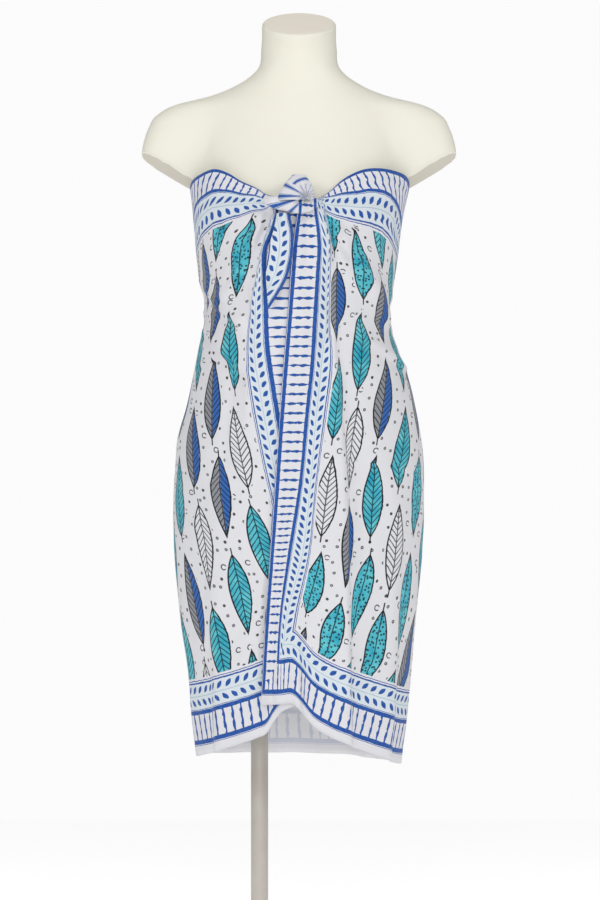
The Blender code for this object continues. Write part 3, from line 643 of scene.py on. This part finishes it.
def along_the_cloth(turn, angle, z, points):
    """The distance s of every corner from the cloth's first edge."""
    plain = cloth_point(angle, z, np.zeros_like(z))
    tucked = 1 + TUCK * rise_of(HANGING, angle, z)[:, 1:]
    steps = np.linalg.norm(np.diff(points, axis=1), axis=-1) * tucked
    slack = ((1 - np.cos(angle)) / 2) ** 1.5
    length = np.concatenate([np.zeros((len(z), 1)), np.cumsum(steps, axis=1)], axis=1)
    gathered = steps * (slack[:, 1:] + slack[:, :-1]) / 2
    gathered = np.concatenate([np.zeros((len(z), 1)), np.cumsum(gathered, axis=1)], axis=1)
    first, past_first = border_place(OVER_LINES, plain[..., 0], z)
    last, past_last = border_place(UNDER_LINES, plain[..., 0], z)
    s = np.zeros_like(z)
    for row in range(len(z)):
        near = turn[row] < FRONT_END
        far = turn[row] > BACK_END
        a1 = np.interp(0.0, past_first[row, near], length[row, near])
        b1 = np.interp(0.0, past_first[row, near], gathered[row, near])
        order = np.argsort(past_last[row, far])
        a2 = np.interp(0.0, past_last[row, far][order], length[row, far][order])
        b2 = np.interp(0.0, past_last[row, far][order], gathered[row, far][order])
        extra = (CUT_WIDTH - 2 * BORDER - (a2 - a1)) / (b2 - b1)
        between = BORDER + (length[row] - a1) + extra * (gathered[row] - b1)
        s[row] = np.where(length[row] < a1, first[row],
                          np.where(length[row] > a2, CUT_WIDTH - last[row], between))
    rail = top_band(turn, angle)[0]
    lean = np.where(np.abs(angle) < math.pi / 2, TOP_LEAN * np.sin(2 * angle), 0.0)
    return s + lean * np.clip(z - top_height(turn) + rail, 0.0, None)


def up_the_cloth(turn, angle, z):
    """The distance t of every corner above the hem."""
    low = hem_height(turn)
    foot = MARGIN + BORDER
    full = CUT_HEIGHT - BORDER
    rail, end, shoulder = top_band(turn, angle)
    scale = (full - foot) / (LEVEL_TOP - LEVEL_HEM - foot)
    level = foot + (z - LEVEL_HEM - foot) * scale
    near_hem = 1 - smooth_step((z - low - foot) / HEM_REACH)
    near_top = smooth_step(1 - (shoulder - z) / TOP_REACH)
    off_top = full - foot - (shoulder - LEVEL_HEM - foot) * scale
    middle = level - (low - LEVEL_HEM) * scale * near_hem + off_top * near_top
    t = np.where(z < low + foot, z - low, np.minimum(middle, full))
    t = t + np.clip((z - shoulder) / (end - rail), 0.0, 1.0) * (BORDER - RAIL)
    return t + np.clip((z - shoulder - end + rail) / rail, 0.0, None) * RAIL


s = along_the_cloth(turn, angle, height, cloth_point(angle, height, rise / 2))
t = up_the_cloth(turn, angle, height)
print("print reaches", round(float(s.max()), 3), "by", round(float(t.max()), 3), "m")

# %% Make the wrapped cloth
wrap_cloth = finished("wrap_cloth", printed_grid(cloth_points, s, t))
thicken(wrap_cloth, CLOTH_THICKNESS)
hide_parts("wrap_over_front", "wrap_back", "wrap_under_front")

# %% [markdown]
# ## The knot
# The two top corners of the cloth are tied once. One comes up through the knot and puffs out above it,
# the other goes across as a roll and hangs down in front as a pointed tail. Each is a small sheet: the
# puff is a dome with pleats that meet at its foot, the roll a pleated tube, and the tail a folded strip
# with a soft ridge down its middle.

# %% Sizes of the knot
REST_GAP = 0.0008
TAIL_WALL = 0.0008
TAIL_PRINT_WIDTH = 0.036
TAIL_PRINT_DROP = 0.77
TAIL_LIFT = 0.0018
TAIL_CREASE = 0.0012
TIP_Y = -0.1400
TIP_HALF_DEPTH = 0.0140
TAIL = table("z left right rise", [
    (1.076, -0.0432, -0.0408, 0.001), (1.095, -0.0445, -0.029, 0.004), (1.112, -0.0458, -0.019, 0.0065),
    (1.145, -0.0445, -0.0095, 0.0085), (1.165, -0.0405, -0.0075, 0.0095), (1.185, -0.035, -0.0085, 0.01),
    (1.195, -0.033, -0.0105, 0.01), (1.2068, -0.031, -0.0125, 0.0085),
])
ROLL = table("x z up deep", [
    (-0.051, 1.225, 0.0045, 0.006), (-0.035, 1.2215, 0.0085, 0.012), (-0.02, 1.219, 0.0098, 0.016),
    (0.0, 1.217, 0.011, 0.0175), (0.016, 1.219, 0.0098, 0.014), (0.032, 1.2225, 0.0045, 0.006),
])


def cloth_front(x, z):
    """How far forward the outermost cloth reaches at a place seen from the front."""
    angle = front_angle(x, z)
    _, rise = wound_rise(angle, z)
    return cloth_point(angle, z, rise)[..., 1]


# %% Tail


def make_tail():
    v, u = unit_grid(61, 33)
    z = TAIL["z"][0] + (TAIL["z"][-1] - TAIL["z"][0]) * v
    left = read(TAIL, "left", z)
    right = read(TAIL, "right", z)
    x = left + (right - left) * u
    puff = read(TAIL, "rise", z) * np.sin(math.pi * u) ** 0.8
    crease = TAIL_CREASE * np.exp(-((u - 0.42) / 0.08) ** 2) * smooth_step(v * 3)
    y = cloth_front(x, z) - REST_GAP - TAIL_WALL - TAIL_LIFT - puff + crease
    ladder = BORDER_LINES[2]
    print_s = ladder + (BORDER - ladder) * (1 - u) * (right - left) / TAIL_PRINT_WIDTH
    return finished("tail_strip", printed_grid(np.stack([x, y, z], axis=-1), print_s, z - TAIL_PRINT_DROP))


tail_strip = make_tail()
thicken(tail_strip, TAIL_WALL)

# %% Roll
GATHER = Vector((0.0110, 0.0, 1.2290))
STRIPE_DEPTH = 0.0045
STRIPE_START = 0.0012
ROLL_FRONT_TOP = 1.2285
ROLL_BARS = 14
ROLL_FIRST_BAR = math.radians(196)


def fan_pleats(x, z, count, reach):
    """Pleats that meet at the gather and fade with the distance from it."""
    fan = np.arctan2(z - GATHER.z, x - GATHER.x)
    return np.cos(count * fan) * np.exp(-np.hypot(x - GATHER.x, z - GATHER.z) / reach)


def edge_stripes(wave):
    """A height on the flat cloth that meets its blue edge stripe wherever a wave is near its top."""
    return PRINT_TOP - (STRIPE_DEPTH * wave - STRIPE_START)


def make_roll():
    v, u = unit_grid(73, 97)
    x = ROLL["x"][0] + (ROLL["x"][-1] - ROLL["x"][0]) * u
    turn = 2 * math.pi * v
    middle = read(ROLL, "z", x)
    round_end = np.clip(1 - (2 * u - 1) ** 8, 0.0, 1.0) ** 0.5
    z = middle + read(ROLL, "up", x) * round_end * np.sin(turn)
    deep = read(ROLL, "deep", x) * round_end
    crease = 0.0026 * fan_pleats(x, z, 12, 0.030) * (1 + np.cos(turn)) / 2 * round_end
    y = cloth_front(x, np.minimum(middle, ROLL_FRONT_TOP)) - REST_GAP - deep * (1 + np.cos(turn)) / 2 + crease
    level = np.minimum(z, ROLL_FRONT_TOP)
    inwards, _ = border_place(OVER_LINES, x, level)
    front = front_angle(x, z)
    fan = np.arctan2(z - GATHER.z, x - GATHER.x)
    strip = x > 0.0
    print_s = np.where(strip, inwards, CUT_WIDTH / 2)
    print_t = np.where(strip, up_the_cloth(front, front, level),
                       edge_stripes(np.cos(ROLL_BARS * (fan - ROLL_FIRST_BAR))))
    return finished("knot_roll", sew(printed_grid(np.stack([x, y, z], axis=-1), print_s, print_t)))


knot_roll = make_roll()

# %% Puff
PUFF_BARS = 13
PUFF_FIRST_BAR = math.radians(151)
ARCS_REACH = 0.0185
ARC_SPACING = 0.0120
FIRST_ARC = 0.0255
FAN_START = math.radians(138)
FAN_END = math.radians(270)
PUFF = table("z left right", [
    (1.2245, -0.0305, 0.0205), (1.23, -0.029, 0.021), (1.2356, -0.0265, 0.0208), (1.2439, -0.0222, 0.0188),
    (1.252, -0.0162, 0.0146), (1.258, -0.0095, 0.0088), (1.2605, -0.005, 0.004), (1.2608, -0.0012, -0.0008),
])


def make_puff():
    v, u = unit_grid(61, 97)
    turn = 2 * math.pi * u
    z = PUFF["z"][0] + (PUFF["z"][-1] - PUFF["z"][0]) * (1 - (1 - v) ** 1.8)
    left = read(PUFF, "left", z)
    right = read(PUFF, "right", z)
    rise = (z - z[0, 0]) / (z[-1, 0] - z[0, 0])
    x = (left + right) / 2 + (right - left) / 2 * np.sin(turn)
    deep = TIP_HALF_DEPTH * np.clip(1 - rise ** 2.2, 0.0, 1.0) ** 0.6
    y = TIP_Y + 0.0070 * rise - deep * np.cos(turn)
    y = y + 0.0032 * fan_pleats(x, z, 13, 0.020) * np.clip(np.cos(turn), 0.0, None) * (1 - v ** 4)
    fan = np.mod(np.arctan2(z - GATHER.z, x - GATHER.x), 2 * math.pi)
    reach = np.hypot(x - GATHER.x, z - GATHER.z)
    arcs = np.where(reach > ARCS_REACH, np.cos(2 * math.pi * (reach - FIRST_ARC) / ARC_SPACING),
                    np.cos(15 * fan) - 0.25)
    bars = np.cos(PUFF_BARS * (fan - PUFF_FIRST_BAR))
    print_s = np.full_like(x, CUT_WIDTH / 2)
    print_t = edge_stripes(np.where((fan < FAN_START) | (fan > FAN_END), arcs, bars))
    return finished("knot_puff", sew(printed_grid(np.stack([x, y, z], axis=-1), print_s, print_t)))


knot_puff = make_puff()
thicken(knot_puff, TAIL_WALL)
for piece, node in ((tail_strip, "knot_tail"), (knot_roll, "knot_wrap"), (knot_puff, "knot_tip")):
    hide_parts(node)

# %% [markdown]
# ## Arithmetic that writes nodes
# The print is drawn by nodes: stripes, bars, leaves and dots are all sums and steps on `s` and `t`. Placing
# hundreds of Math nodes by hand hides the idea, so a small class lets ordinary arithmetic place them.

# %% Node arithmetic


class Reading:
    """A socket's number, on which arithmetic adds Math nodes to its tree."""

    def __init__(self, tree, socket):
        self.tree = tree
        self.socket = socket

    def __add__(self, other):
        return maths("ADD", self, other)

    def __sub__(self, other):
        return maths("SUBTRACT", self, other)

    def __rsub__(self, other):
        return maths("SUBTRACT", other, self)

    def __mul__(self, other):
        return maths("MULTIPLY", self, other)

    __radd__ = __add__
    __rmul__ = __mul__


def maths(operation, *numbers, clamp=False):
    """One Math node on readings and plain numbers."""
    tree = next(number.tree for number in numbers if isinstance(number, Reading))
    node = tree.nodes.new("ShaderNodeMath")
    node.operation = operation
    node.use_clamp = clamp
    for slot, number in zip(node.inputs, numbers):
        if isinstance(number, Reading):
            tree.links.new(number.socket, slot)
        else:
            slot.default_value = number
    return Reading(tree, node.outputs[0])


def add_node(tree, kind, values=(), links=()):
    """A new node with some of its inputs set and others linked. Random patterns are flat."""
    node = tree.nodes.new("ShaderNode" + kind)
    if kind == "TexVoronoi":
        node.voronoi_dimensions = "2D"
    if kind == "TexWhiteNoise":
        node.noise_dimensions = "2D"
    for name, value in dict(values).items():
        node.inputs[name].default_value = value
    for name, socket in dict(links).items():
        tree.links.new(socket, node.inputs[name])
    return node


def parts(tree, kind, socket):
    """The three numbers of a colour or a vector, as readings."""
    split = add_node(tree, "Separate" + kind)
    tree.links.new(socket, split.inputs[0])
    return [Reading(tree, output) for output in split.outputs]


def beyond(number, place, soft=0.0005):
    """1 where a number is past a place and 0 before it, with a soft change between."""
    return maths("MULTIPLY_ADD", number - place, 1 / soft, 0.5, clamp=True)


def between(number, low, high, soft=0.0005):
    return beyond(number, low, soft) * beyond(high - number, 0.0, soft)


def either(*masks):
    total = masks[0]
    for mask in masks[1:]:
        total = maths("MAXIMUM", total, mask)
    return total


# %% [markdown]
# ## Ink colours
# The cloth is white, printed with turquoise, two blues, a grey wash and a black ink line. Colours are
# written as a screen shows them and turned into the linear values that Blender mixes.

# %% Colours


def ink(red, green, blue):
    """A colour given as screen values from 0 to 255, as linear light."""
    values = [channel / 255 for channel in (red, green, blue)]
    linear = [c / 12.92 if c <= 0.04045 else ((c + 0.055) / 1.055) ** 2.4 for c in values]
    return (*linear, 1.0)


WHITE = ink(216, 216, 220)
# The wrong side's white is painted lighter than the face's white, as painted light coming through the cloth.
WRONG_SIDE_PAINTED_LIGHT = ink(244, 244, 247)
PALE_BLUE = ink(209, 217, 223)
STEM_BLUE = ink(136, 174, 192)
BLUE = ink(46, 98, 172)
DEEP_BLUE = ink(22, 64, 142)
TURQUOISE = ink(26, 152, 178)
PALE_TURQUOISE = ink(100, 196, 206)
GREY_WASH = ink(138, 140, 146)
BLACK = ink(18, 22, 30)


def layer(tree, below, colour, mask):
    """Lay a colour over what is below where a mask is 1."""
    mix = tree.nodes.new("ShaderNodeMix")
    mix.data_type = "RGBA"
    tree.links.new(mask.socket, mix.inputs["Factor"])
    for slot, value in ((mix.inputs["A"], below), (mix.inputs["B"], colour)):
        if isinstance(value, tuple):
            slot.default_value = value
        else:
            tree.links.new(value, slot)
    return mix.outputs["Result"]


def noise_reading(tree, vector, scale, detail=2.0):
    """A soft noise around 0, from about -0.5 to 0.5."""
    node = add_node(tree, "TexNoise", {"Scale": scale, "Detail": detail}, {"Vector": vector})
    return Reading(tree, node.outputs["Fac"]) - 0.5


# %% [markdown]
# ## The border
# The border runs round all four sides: a stripe, a ladder of beaded bars, a thicker rail, a vine of small
# leaves in two rows on a pale ground, and a double line. Its drawing depends only on the distance in from
# the nearest side and on the place along that side, so one drawing serves all four, mitred at the corners.

# %% Border drawing
BAR_PITCH = 0.0134
LEAF_PITCH = 0.0136
LEAF_HALF_WIDTH = 0.0031
LEAF_HALF_LENGTH = 0.0066
VINE_STEM = 0.0690
ROW_OFFSET = 0.0090
STRIPES = [(-0.0050, 0.0010), (0.0017, 0.0083), (0.0434, 0.0494), (0.0500, 0.0510)]
DOUBLE_LINE = [(0.0861, 0.0886), (0.0902, 0.0916)]
LADDER = (0.0080, 0.0440)
LADDER_MIDDLE = (0.0140, 0.0390)
BEAD_PITCH = 0.0155
HALF_BAR = 0.0018
PALE_BAND = (0.0490, 0.0880)
VINE_BAND = (0.0515, 0.0860)


def vine(across, along):
    """Two rows of slanted leaves beside the stem; across is measured from the stem."""
    leaves = None
    for side, start in ((1, 0.0), (-1, 0.5)):
        place = (maths("FRACT", along * (1 / LEAF_PITCH) + start) - 0.5) * LEAF_PITCH
        away = across * side - ROW_OFFSET
        lengthwise = place * 0.64 + away * 0.77
        sideways = maths("ABSOLUTE", place * 0.77 - away * 0.64)
        width = LEAF_HALF_WIDTH - lengthwise * lengthwise * (LEAF_HALF_WIDTH / LEAF_HALF_LENGTH ** 2)
        row = beyond(width - sideways, 0.0)
        leaves = row if leaves is None else either(leaves, row)
    return leaves


def draw_border(tree, ground, inwards, along, on_side, wobble, streaks):
    """Lay the whole border over a ground colour."""
    edge = inwards + wobble * 0.0020
    stripes = either(*[between(edge, *span) for span in STRIPES])
    lines = either(*[between(edge, *span) for span in DOUBLE_LINE])
    middle = between(inwards, *LADDER_MIDDLE, 0.0060)
    bead = maths("COSINE", (inwards - 0.0185) * (2 * math.pi / BEAD_PITCH))
    half_bar = HALF_BAR + on_side * (middle * 0.0006 - 0.0006) + bead * 0.0004 + wobble * 0.0026
    place = (maths("FRACT", along * (1 / BAR_PITCH) + wobble * 0.22) - 0.5) * BAR_PITCH
    bars = beyond(half_bar - maths("ABSOLUTE", place), 0.0) * between(inwards, *LADDER)
    pale = layer(tree, ground, PALE_BLUE, between(inwards, *PALE_BAND, 0.0010))
    stem = between(inwards + wobble * 0.0010, VINE_STEM - 0.0005, VINE_STEM + 0.0005)
    pale = layer(tree, pale, STEM_BLUE, stem * 0.8)
    marks = either(stripes, lines, bars, vine(inwards - VINE_STEM + wobble * 0.0015, along + wobble * 0.0020))
    marks = marks * either(stripes, lines, bars, between(inwards, *VINE_BAND))
    tone = maths("MULTIPLY_ADD", streaks, 1.6, 0.45, clamp=True)
    return layer(tree, pale, layer(tree, DEEP_BLUE, BLUE, tone), marks)


# %% [markdown]
# ## The ground between the borders
# Long leaf motifs stand in columns, every second column dropped by half a step. Each has an inked outline,
# a midrib and slanted veins, and one of four washes, picked by a random number for its cell. Ink dots and
# small open rings fill the spaces between.

# %% Ground drawing
COLUMN_PITCH = 0.0425
ROW_PITCH = 0.138
MOTIF_HALF_LENGTH = 0.057
MOTIF_HALF_WIDTH = 0.0148
DOT_SPACING = 0.0175
SPECKLE_SPACING = 0.0060
TURQUOISE_KINDS = (-0.1, 0.40)
GREY_KINDS = (0.40, 0.62)
SPECKLED_KINDS = 0.80
OUTLINE = (-0.0014, 0.0009)
MIDRIB = (-0.0009, 0.0009)
STALK = (-0.066, -0.048)
STALK_HALF_WIDTH = 0.0010
VEIN_PITCH = 0.0085
VEIN_SLANT = 1.1
DOT_RADIUS = 0.0022
RING_EXTRA = 0.0020
RING_HOLE = 0.0026
RING_OPENING = (-0.0022, 0.0010)


def cell_randoms(tree, column, row):
    """Three random numbers for a cell."""
    place = add_node(tree, "CombineXYZ", links={"X": column.socket, "Y": row.socket})
    random = add_node(tree, "TexWhiteNoise", links={"Vector": place.outputs["Vector"]})
    return parts(tree, "Color", random.outputs["Color"])


def draw_ground(tree, cloth_place, s, t, wobble, soft_noise):
    """Lay the leaf motifs, the dots and the rings over plain white."""
    column_place = s * (1 / COLUMN_PITCH)
    column = maths("FLOOR", column_place)
    row_place = t * (1 / ROW_PITCH) + column * 0.5
    row = maths("FLOOR", row_place)
    kind, lean, flip = cell_randoms(tree, column, row)
    across = (maths("FRACT", column_place) - 0.5) * COLUMN_PITCH
    up = (maths("FRACT", row_place) - 0.5) * ROW_PITCH
    across = across + up * (lean - 0.5) * 0.14 + wobble * 0.0012
    up = up * (maths("GREATER_THAN", flip, 0.5) * 2.0 - 1.0)
    share = up * (1 / MOTIF_HALF_LENGTH)
    width = (1.0 - share * share) * (1.0 - share * 0.30) * MOTIF_HALF_WIDTH
    away = maths("ABSOLUTE", across) - width
    inside = beyond(0.0 - away, 0.0)
    outline = between(away + wobble * 0.0010, *OUTLINE)
    stalk = beyond(STALK_HALF_WIDTH - maths("ABSOLUTE", across), 0.0) * between(up, *STALK)
    midrib = between(across, *MIDRIB)
    vein_place = maths("FRACT", (up - maths("ABSOLUTE", across) * VEIN_SLANT) * (1 / VEIN_PITCH))
    veins = between(vein_place + wobble * 0.20, 0.34, 0.60, 0.06)
    wash_edge = beyond(0.0 - away - soft_noise * 0.004, 0.0010, 0.0008)
    turquoise = between(kind, *TURQUOISE_KINDS, 0.001)
    grey = between(kind, *GREY_KINDS, 0.001)
    speckled = beyond(kind, SPECKLED_KINDS, 0.001)
    shade = maths("MULTIPLY_ADD", soft_noise, 2.4, 0.5, clamp=True)
    colour = layer(tree, WHITE, layer(tree, TURQUOISE, PALE_TURQUOISE, shade), wash_edge * turquoise)
    colour = layer(tree, colour, GREY_WASH, wash_edge * grey)
    colour = layer(tree, colour, BLUE, wash_edge * grey * beyond(across, 0.0012))
    colour = layer(tree, colour, layer(tree, PALE_TURQUOISE, TURQUOISE, shade), wash_edge * speckled)
    speckle = add_node(tree, "TexVoronoi", {"Scale": PRINT_SCALE / SPECKLE_SPACING}, {"Vector": cloth_place})
    spots = beyond(0.26 - Reading(tree, speckle.outputs["Distance"]), 0.0, 0.08)
    lines = either(midrib, veins * (1.0 - speckled), spots * speckled)
    colour = layer(tree, colour, BLACK, either(outline, stalk, inside * lines * 0.90))
    dots = add_node(tree, "TexVoronoi", {"Scale": PRINT_SCALE / DOT_SPACING, "Randomness": 0.75},
                    {"Vector": cloth_place})
    reach = Reading(tree, dots.outputs["Distance"]) * DOT_SPACING
    first_draw, second_draw, _ = parts(tree, "Color", dots.outputs["Color"])
    ring = maths("GREATER_THAN", first_draw, 0.86)
    centre_x, centre_y, _ = parts(tree, "XYZ", dots.outputs["Position"])
    aside = s - centre_x * PRINT_SCALE
    above = t - centre_y * PRINT_SCALE
    opening = beyond(aside, 0.0) * between(above, *RING_OPENING)
    size = DOT_RADIUS + ring * RING_EXTRA + wobble * 0.0014
    pale = maths("GREATER_THAN", second_draw, 0.45) * beyond(0.0009 - reach, 0.0) * 0.6
    hole = ring * either(beyond(RING_HOLE - reach, 0.0), opening)
    dot = beyond(size - reach, 0.0) * (1.0 - either(pale, hole))
    return layer(tree, colour, BLACK, dot * beyond(away, 0.0035) * 0.92)


# %% [markdown]
# ## Printed cotton
# The cloth is a plain fine cotton: matt, a little uneven, with a soft sheen at glancing angles. The print
# shows through faintly on the wrong side. Both sides share one drawing, and the wrong side is mixed towards a
# white lighter than the face's: partly the faded print and partly painted light, standing in for light that
# comes through the thin cloth. A fine weave and slight crumples are bump.

# %% Cotton materials
THREAD = 0.00055


def new_material(name, values):
    """A material with some of its shader's values set, with its node tree and that shader."""
    made = bpy.data.materials.new(name)
    made.use_nodes = True
    shader = made.node_tree.nodes["Principled BSDF"]
    for socket_name, value in values.items():
        shader.inputs[socket_name].default_value = value
    return made, made.node_tree, shader


def give_relief(tree, shader, height, strength):
    """Show a height, in metres, as fine relief."""
    bump = add_node(tree, "Bump", {"Distance": 1.0, "Strength": strength}, {"Height": height.socket})
    tree.links.new(bump.outputs["Normal"], shader.inputs["Normal"])


def cotton(name, print_ghost_and_painted_light):
    made, tree, shader = new_material(name, {"Roughness": 0.85, "Sheen Weight": 0.15, "Sheen Roughness": 0.5,
                                             "Specular IOR Level": 0.25})
    chart = add_node(tree, "UVMap")
    chart.uv_map = "print"
    cloth_place = chart.outputs["UV"]
    chart_x, chart_y, _ = parts(tree, "XYZ", cloth_place)
    s = chart_x * PRINT_SCALE
    t = chart_y * PRINT_SCALE
    wobble = noise_reading(tree, cloth_place, 150 * PRINT_SCALE)
    soft_noise = noise_reading(tree, cloth_place, 45 * PRINT_SCALE)
    from_sides = maths("MINIMUM", s, CUT_WIDTH - s)
    from_ends = maths("MINIMUM", t - MARGIN, PRINT_TOP - t)
    inwards = maths("MINIMUM", from_sides, from_ends)
    on_side = maths("LESS_THAN", from_sides, from_ends)
    along = t * on_side + s * (1.0 - on_side)
    ground = draw_ground(tree, cloth_place, s, t, wobble, soft_noise)
    ground = layer(tree, WHITE, ground, beyond(inwards, BORDER + 0.003))
    streaks = noise_reading(tree, cloth_place, 260 * PRINT_SCALE)
    colour = draw_border(tree, ground, inwards, along, on_side, wobble, streaks)
    colour = layer(tree, colour, WHITE, beyond(0.0 - inwards, 0.0))
    # The wrong side is mixed towards a lighter white: the faded print plus painted light through the cloth.
    if print_ghost_and_painted_light > 0:
        colour = layer(tree, colour, WRONG_SIDE_PAINTED_LIGHT, beyond(inwards, -1.0) * print_ghost_and_painted_light)
    tree.links.new(colour, shader.inputs["Base Color"])
    threads = 2 * math.pi / THREAD
    weave = (maths("SINE", s * threads) + maths("SINE", t * threads)) * 0.00003
    crumple = noise_reading(tree, cloth_place, 70 * PRINT_SCALE, 3.0) * 0.0016
    give_relief(tree, shader, weave + crumple, 0.5)
    return made


cotton_face = cotton("cotton_right_side", 0.0)
cotton_wrong_side_painted_light = cotton("cotton_wrong_side_painted_light", 0.72)
for piece in (wrap_cloth, tail_strip, knot_puff, knot_roll):
    piece.data.materials.append(cotton_face)
    piece.data.materials.append(cotton_wrong_side_painted_light)

# %% [markdown]
# ## Cream shell and metal
# The form is sprayed in a satin cream with a very slight mottling. Its neck cap is painted a little lighter,
# as painted light on a face that the lamps reach little, and the cuts of its arm stubs are painted darker, as
# painted shade where they face down. The stand is a warm grey metal with an uneven polish.

# %% Shell and metal materials


def object_noise(tree, scale, detail=2.0):
    return noise_reading(tree, add_node(tree, "TexCoord").outputs["Object"], scale, detail)


def satin_shell(name, first, second):
    made, tree, shader = new_material(name, {"Roughness": 0.48, "Specular IOR Level": 0.35})
    mottling = maths("MULTIPLY_ADD", object_noise(tree, 9.0, 3.0), 1.2, 0.5, clamp=True)
    tree.links.new(layer(tree, first, second, mottling), shader.inputs["Base Color"])
    give_relief(tree, shader, object_noise(tree, 900.0, 2.0) * 0.00004, 0.4)
    return made


def turned_metal():
    made, tree, shader = new_material("warm_grey_satin_metal", {"Metallic": 0.35})
    polish = maths("MULTIPLY_ADD", object_noise(tree, 40.0, 3.0), 1.4, 0.5, clamp=True)
    tree.links.new(layer(tree, ink(182, 175, 165), ink(192, 187, 179), polish), shader.inputs["Base Color"])
    tree.links.new((polish * 0.12 + 0.36).socket, shader.inputs["Roughness"])
    return made


# The neck cap's cream is painted lighter, as painted light, and the stub cuts' cream darker, as painted shade
# where they face down.
for name, first, second in (("cream_satin_shell", ink(229, 226, 211), ink(232, 230, 217)),
                            ("neck_cap_painted_light_shell", ink(238, 230, 215), ink(242, 235, 221)),
                            ("cut_end_painted_shade_shell", ink(198, 192, 177), ink(204, 198, 184))):
    form_skin.data.materials.append(satin_shell(name, first, second))
stand_metal = turned_metal()
for piece in stand_pieces:
    piece.data.materials.append(stand_metal)

# %% [markdown]
# ## How the cloth was cut
# The wrap is one rectangle. The knot's pieces are its two top corners.

# %% [markdown]
# ## Floor, light and camera
# The photograph was taken in soft light against white. A large pale floor, a white surround and broad
# lamps from both sides, the front and above give the same gentle shading. The camera is level, six metres
# away, with a long lens.

# %% Floor and light


def make_floor():
    bm = bmesh.new()
    bmesh.ops.create_grid(bm, x_segments=1, y_segments=1, size=4.0)
    mesh = bpy.data.meshes.new("floor")
    bm.to_mesh(mesh)
    bm.free()
    floor = bpy.data.objects.new("floor", mesh)
    bpy.context.scene.collection.objects.link(floor)
    paper, _, _ = new_material("pale_floor", {
        "Base Color": ink(250, 250, 250), "Roughness": 0.9,
        "Emission Color": (1.0, 1.0, 1.0, 1.0), "Emission Strength": 0.60})
    mesh.materials.append(paper)


make_floor()


def lamp(name, place, aim_height, size, power):
    """A soft rectangular lamp that faces the form's middle line."""
    light = bpy.data.lights.new(name, "AREA")
    light.shape = "RECTANGLE"
    light.size, light.size_y = size
    light.energy = power
    made = bpy.data.objects.new(name, light)
    made.location = place
    made.rotation_euler = (Vector((0.0, 0.0, aim_height)) - Vector(place)).to_track_quat("-Z", "Y").to_euler()
    bpy.context.scene.collection.objects.link(made)


lamp("key_lamp", (-3.4, -2.8, 3.0), 0.95, (1.2, 1.6), 42)
lamp("side_lamp", (3.4, -2.8, 3.0), 0.95, (1.2, 1.6), 43)
lamp("front_lamp", (0.0, -5.2, 1.9), 0.85, (1.4, 1.2), 42)
lamp("top_lamp", (0.0, -1.5, 3.6), 1.2, (1.6, 1.2), 22)

surround = bpy.data.worlds.new("white_surround")
bpy.context.scene.world = surround
surround.use_nodes = True
world_nodes = surround.node_tree.nodes
sky = world_nodes["Background"]
seen = world_nodes.new("ShaderNodeLightPath")
strength = world_nodes.new("ShaderNodeMapRange")
strength.inputs["To Min"].default_value = 0.30
strength.inputs["To Max"].default_value = 0.985
surround.node_tree.links.new(seen.outputs["Is Camera Ray"], strength.inputs["Value"])
surround.node_tree.links.new(strength.outputs["Result"], sky.inputs["Strength"])
sky.inputs["Color"].default_value = (0.99, 0.985, 0.99, 1.0)
bpy.context.scene.view_settings.view_transform = "Standard"

# %% Camera
PIXEL = 0.00142
CAMERA_DISTANCE = 6.0
FRAME_HEIGHT = 900
camera_data = bpy.data.cameras.new("photo_camera")
camera_data.sensor_fit = "VERTICAL"
camera_data.sensor_height = 36.0
camera_data.lens = 36.0 * CAMERA_DISTANCE / (FRAME_HEIGHT * PIXEL)
camera = bpy.data.objects.new("photo_camera", camera_data)
camera.location = (PIXEL, -CAMERA_DISTANCE, 0.878)
camera.rotation_euler = (math.pi / 2, 0.0, 0.0)
bpy.context.scene.collection.objects.link(camera)
bpy.context.scene.camera = camera
print("lens", round(camera_data.lens, 1), "mm")
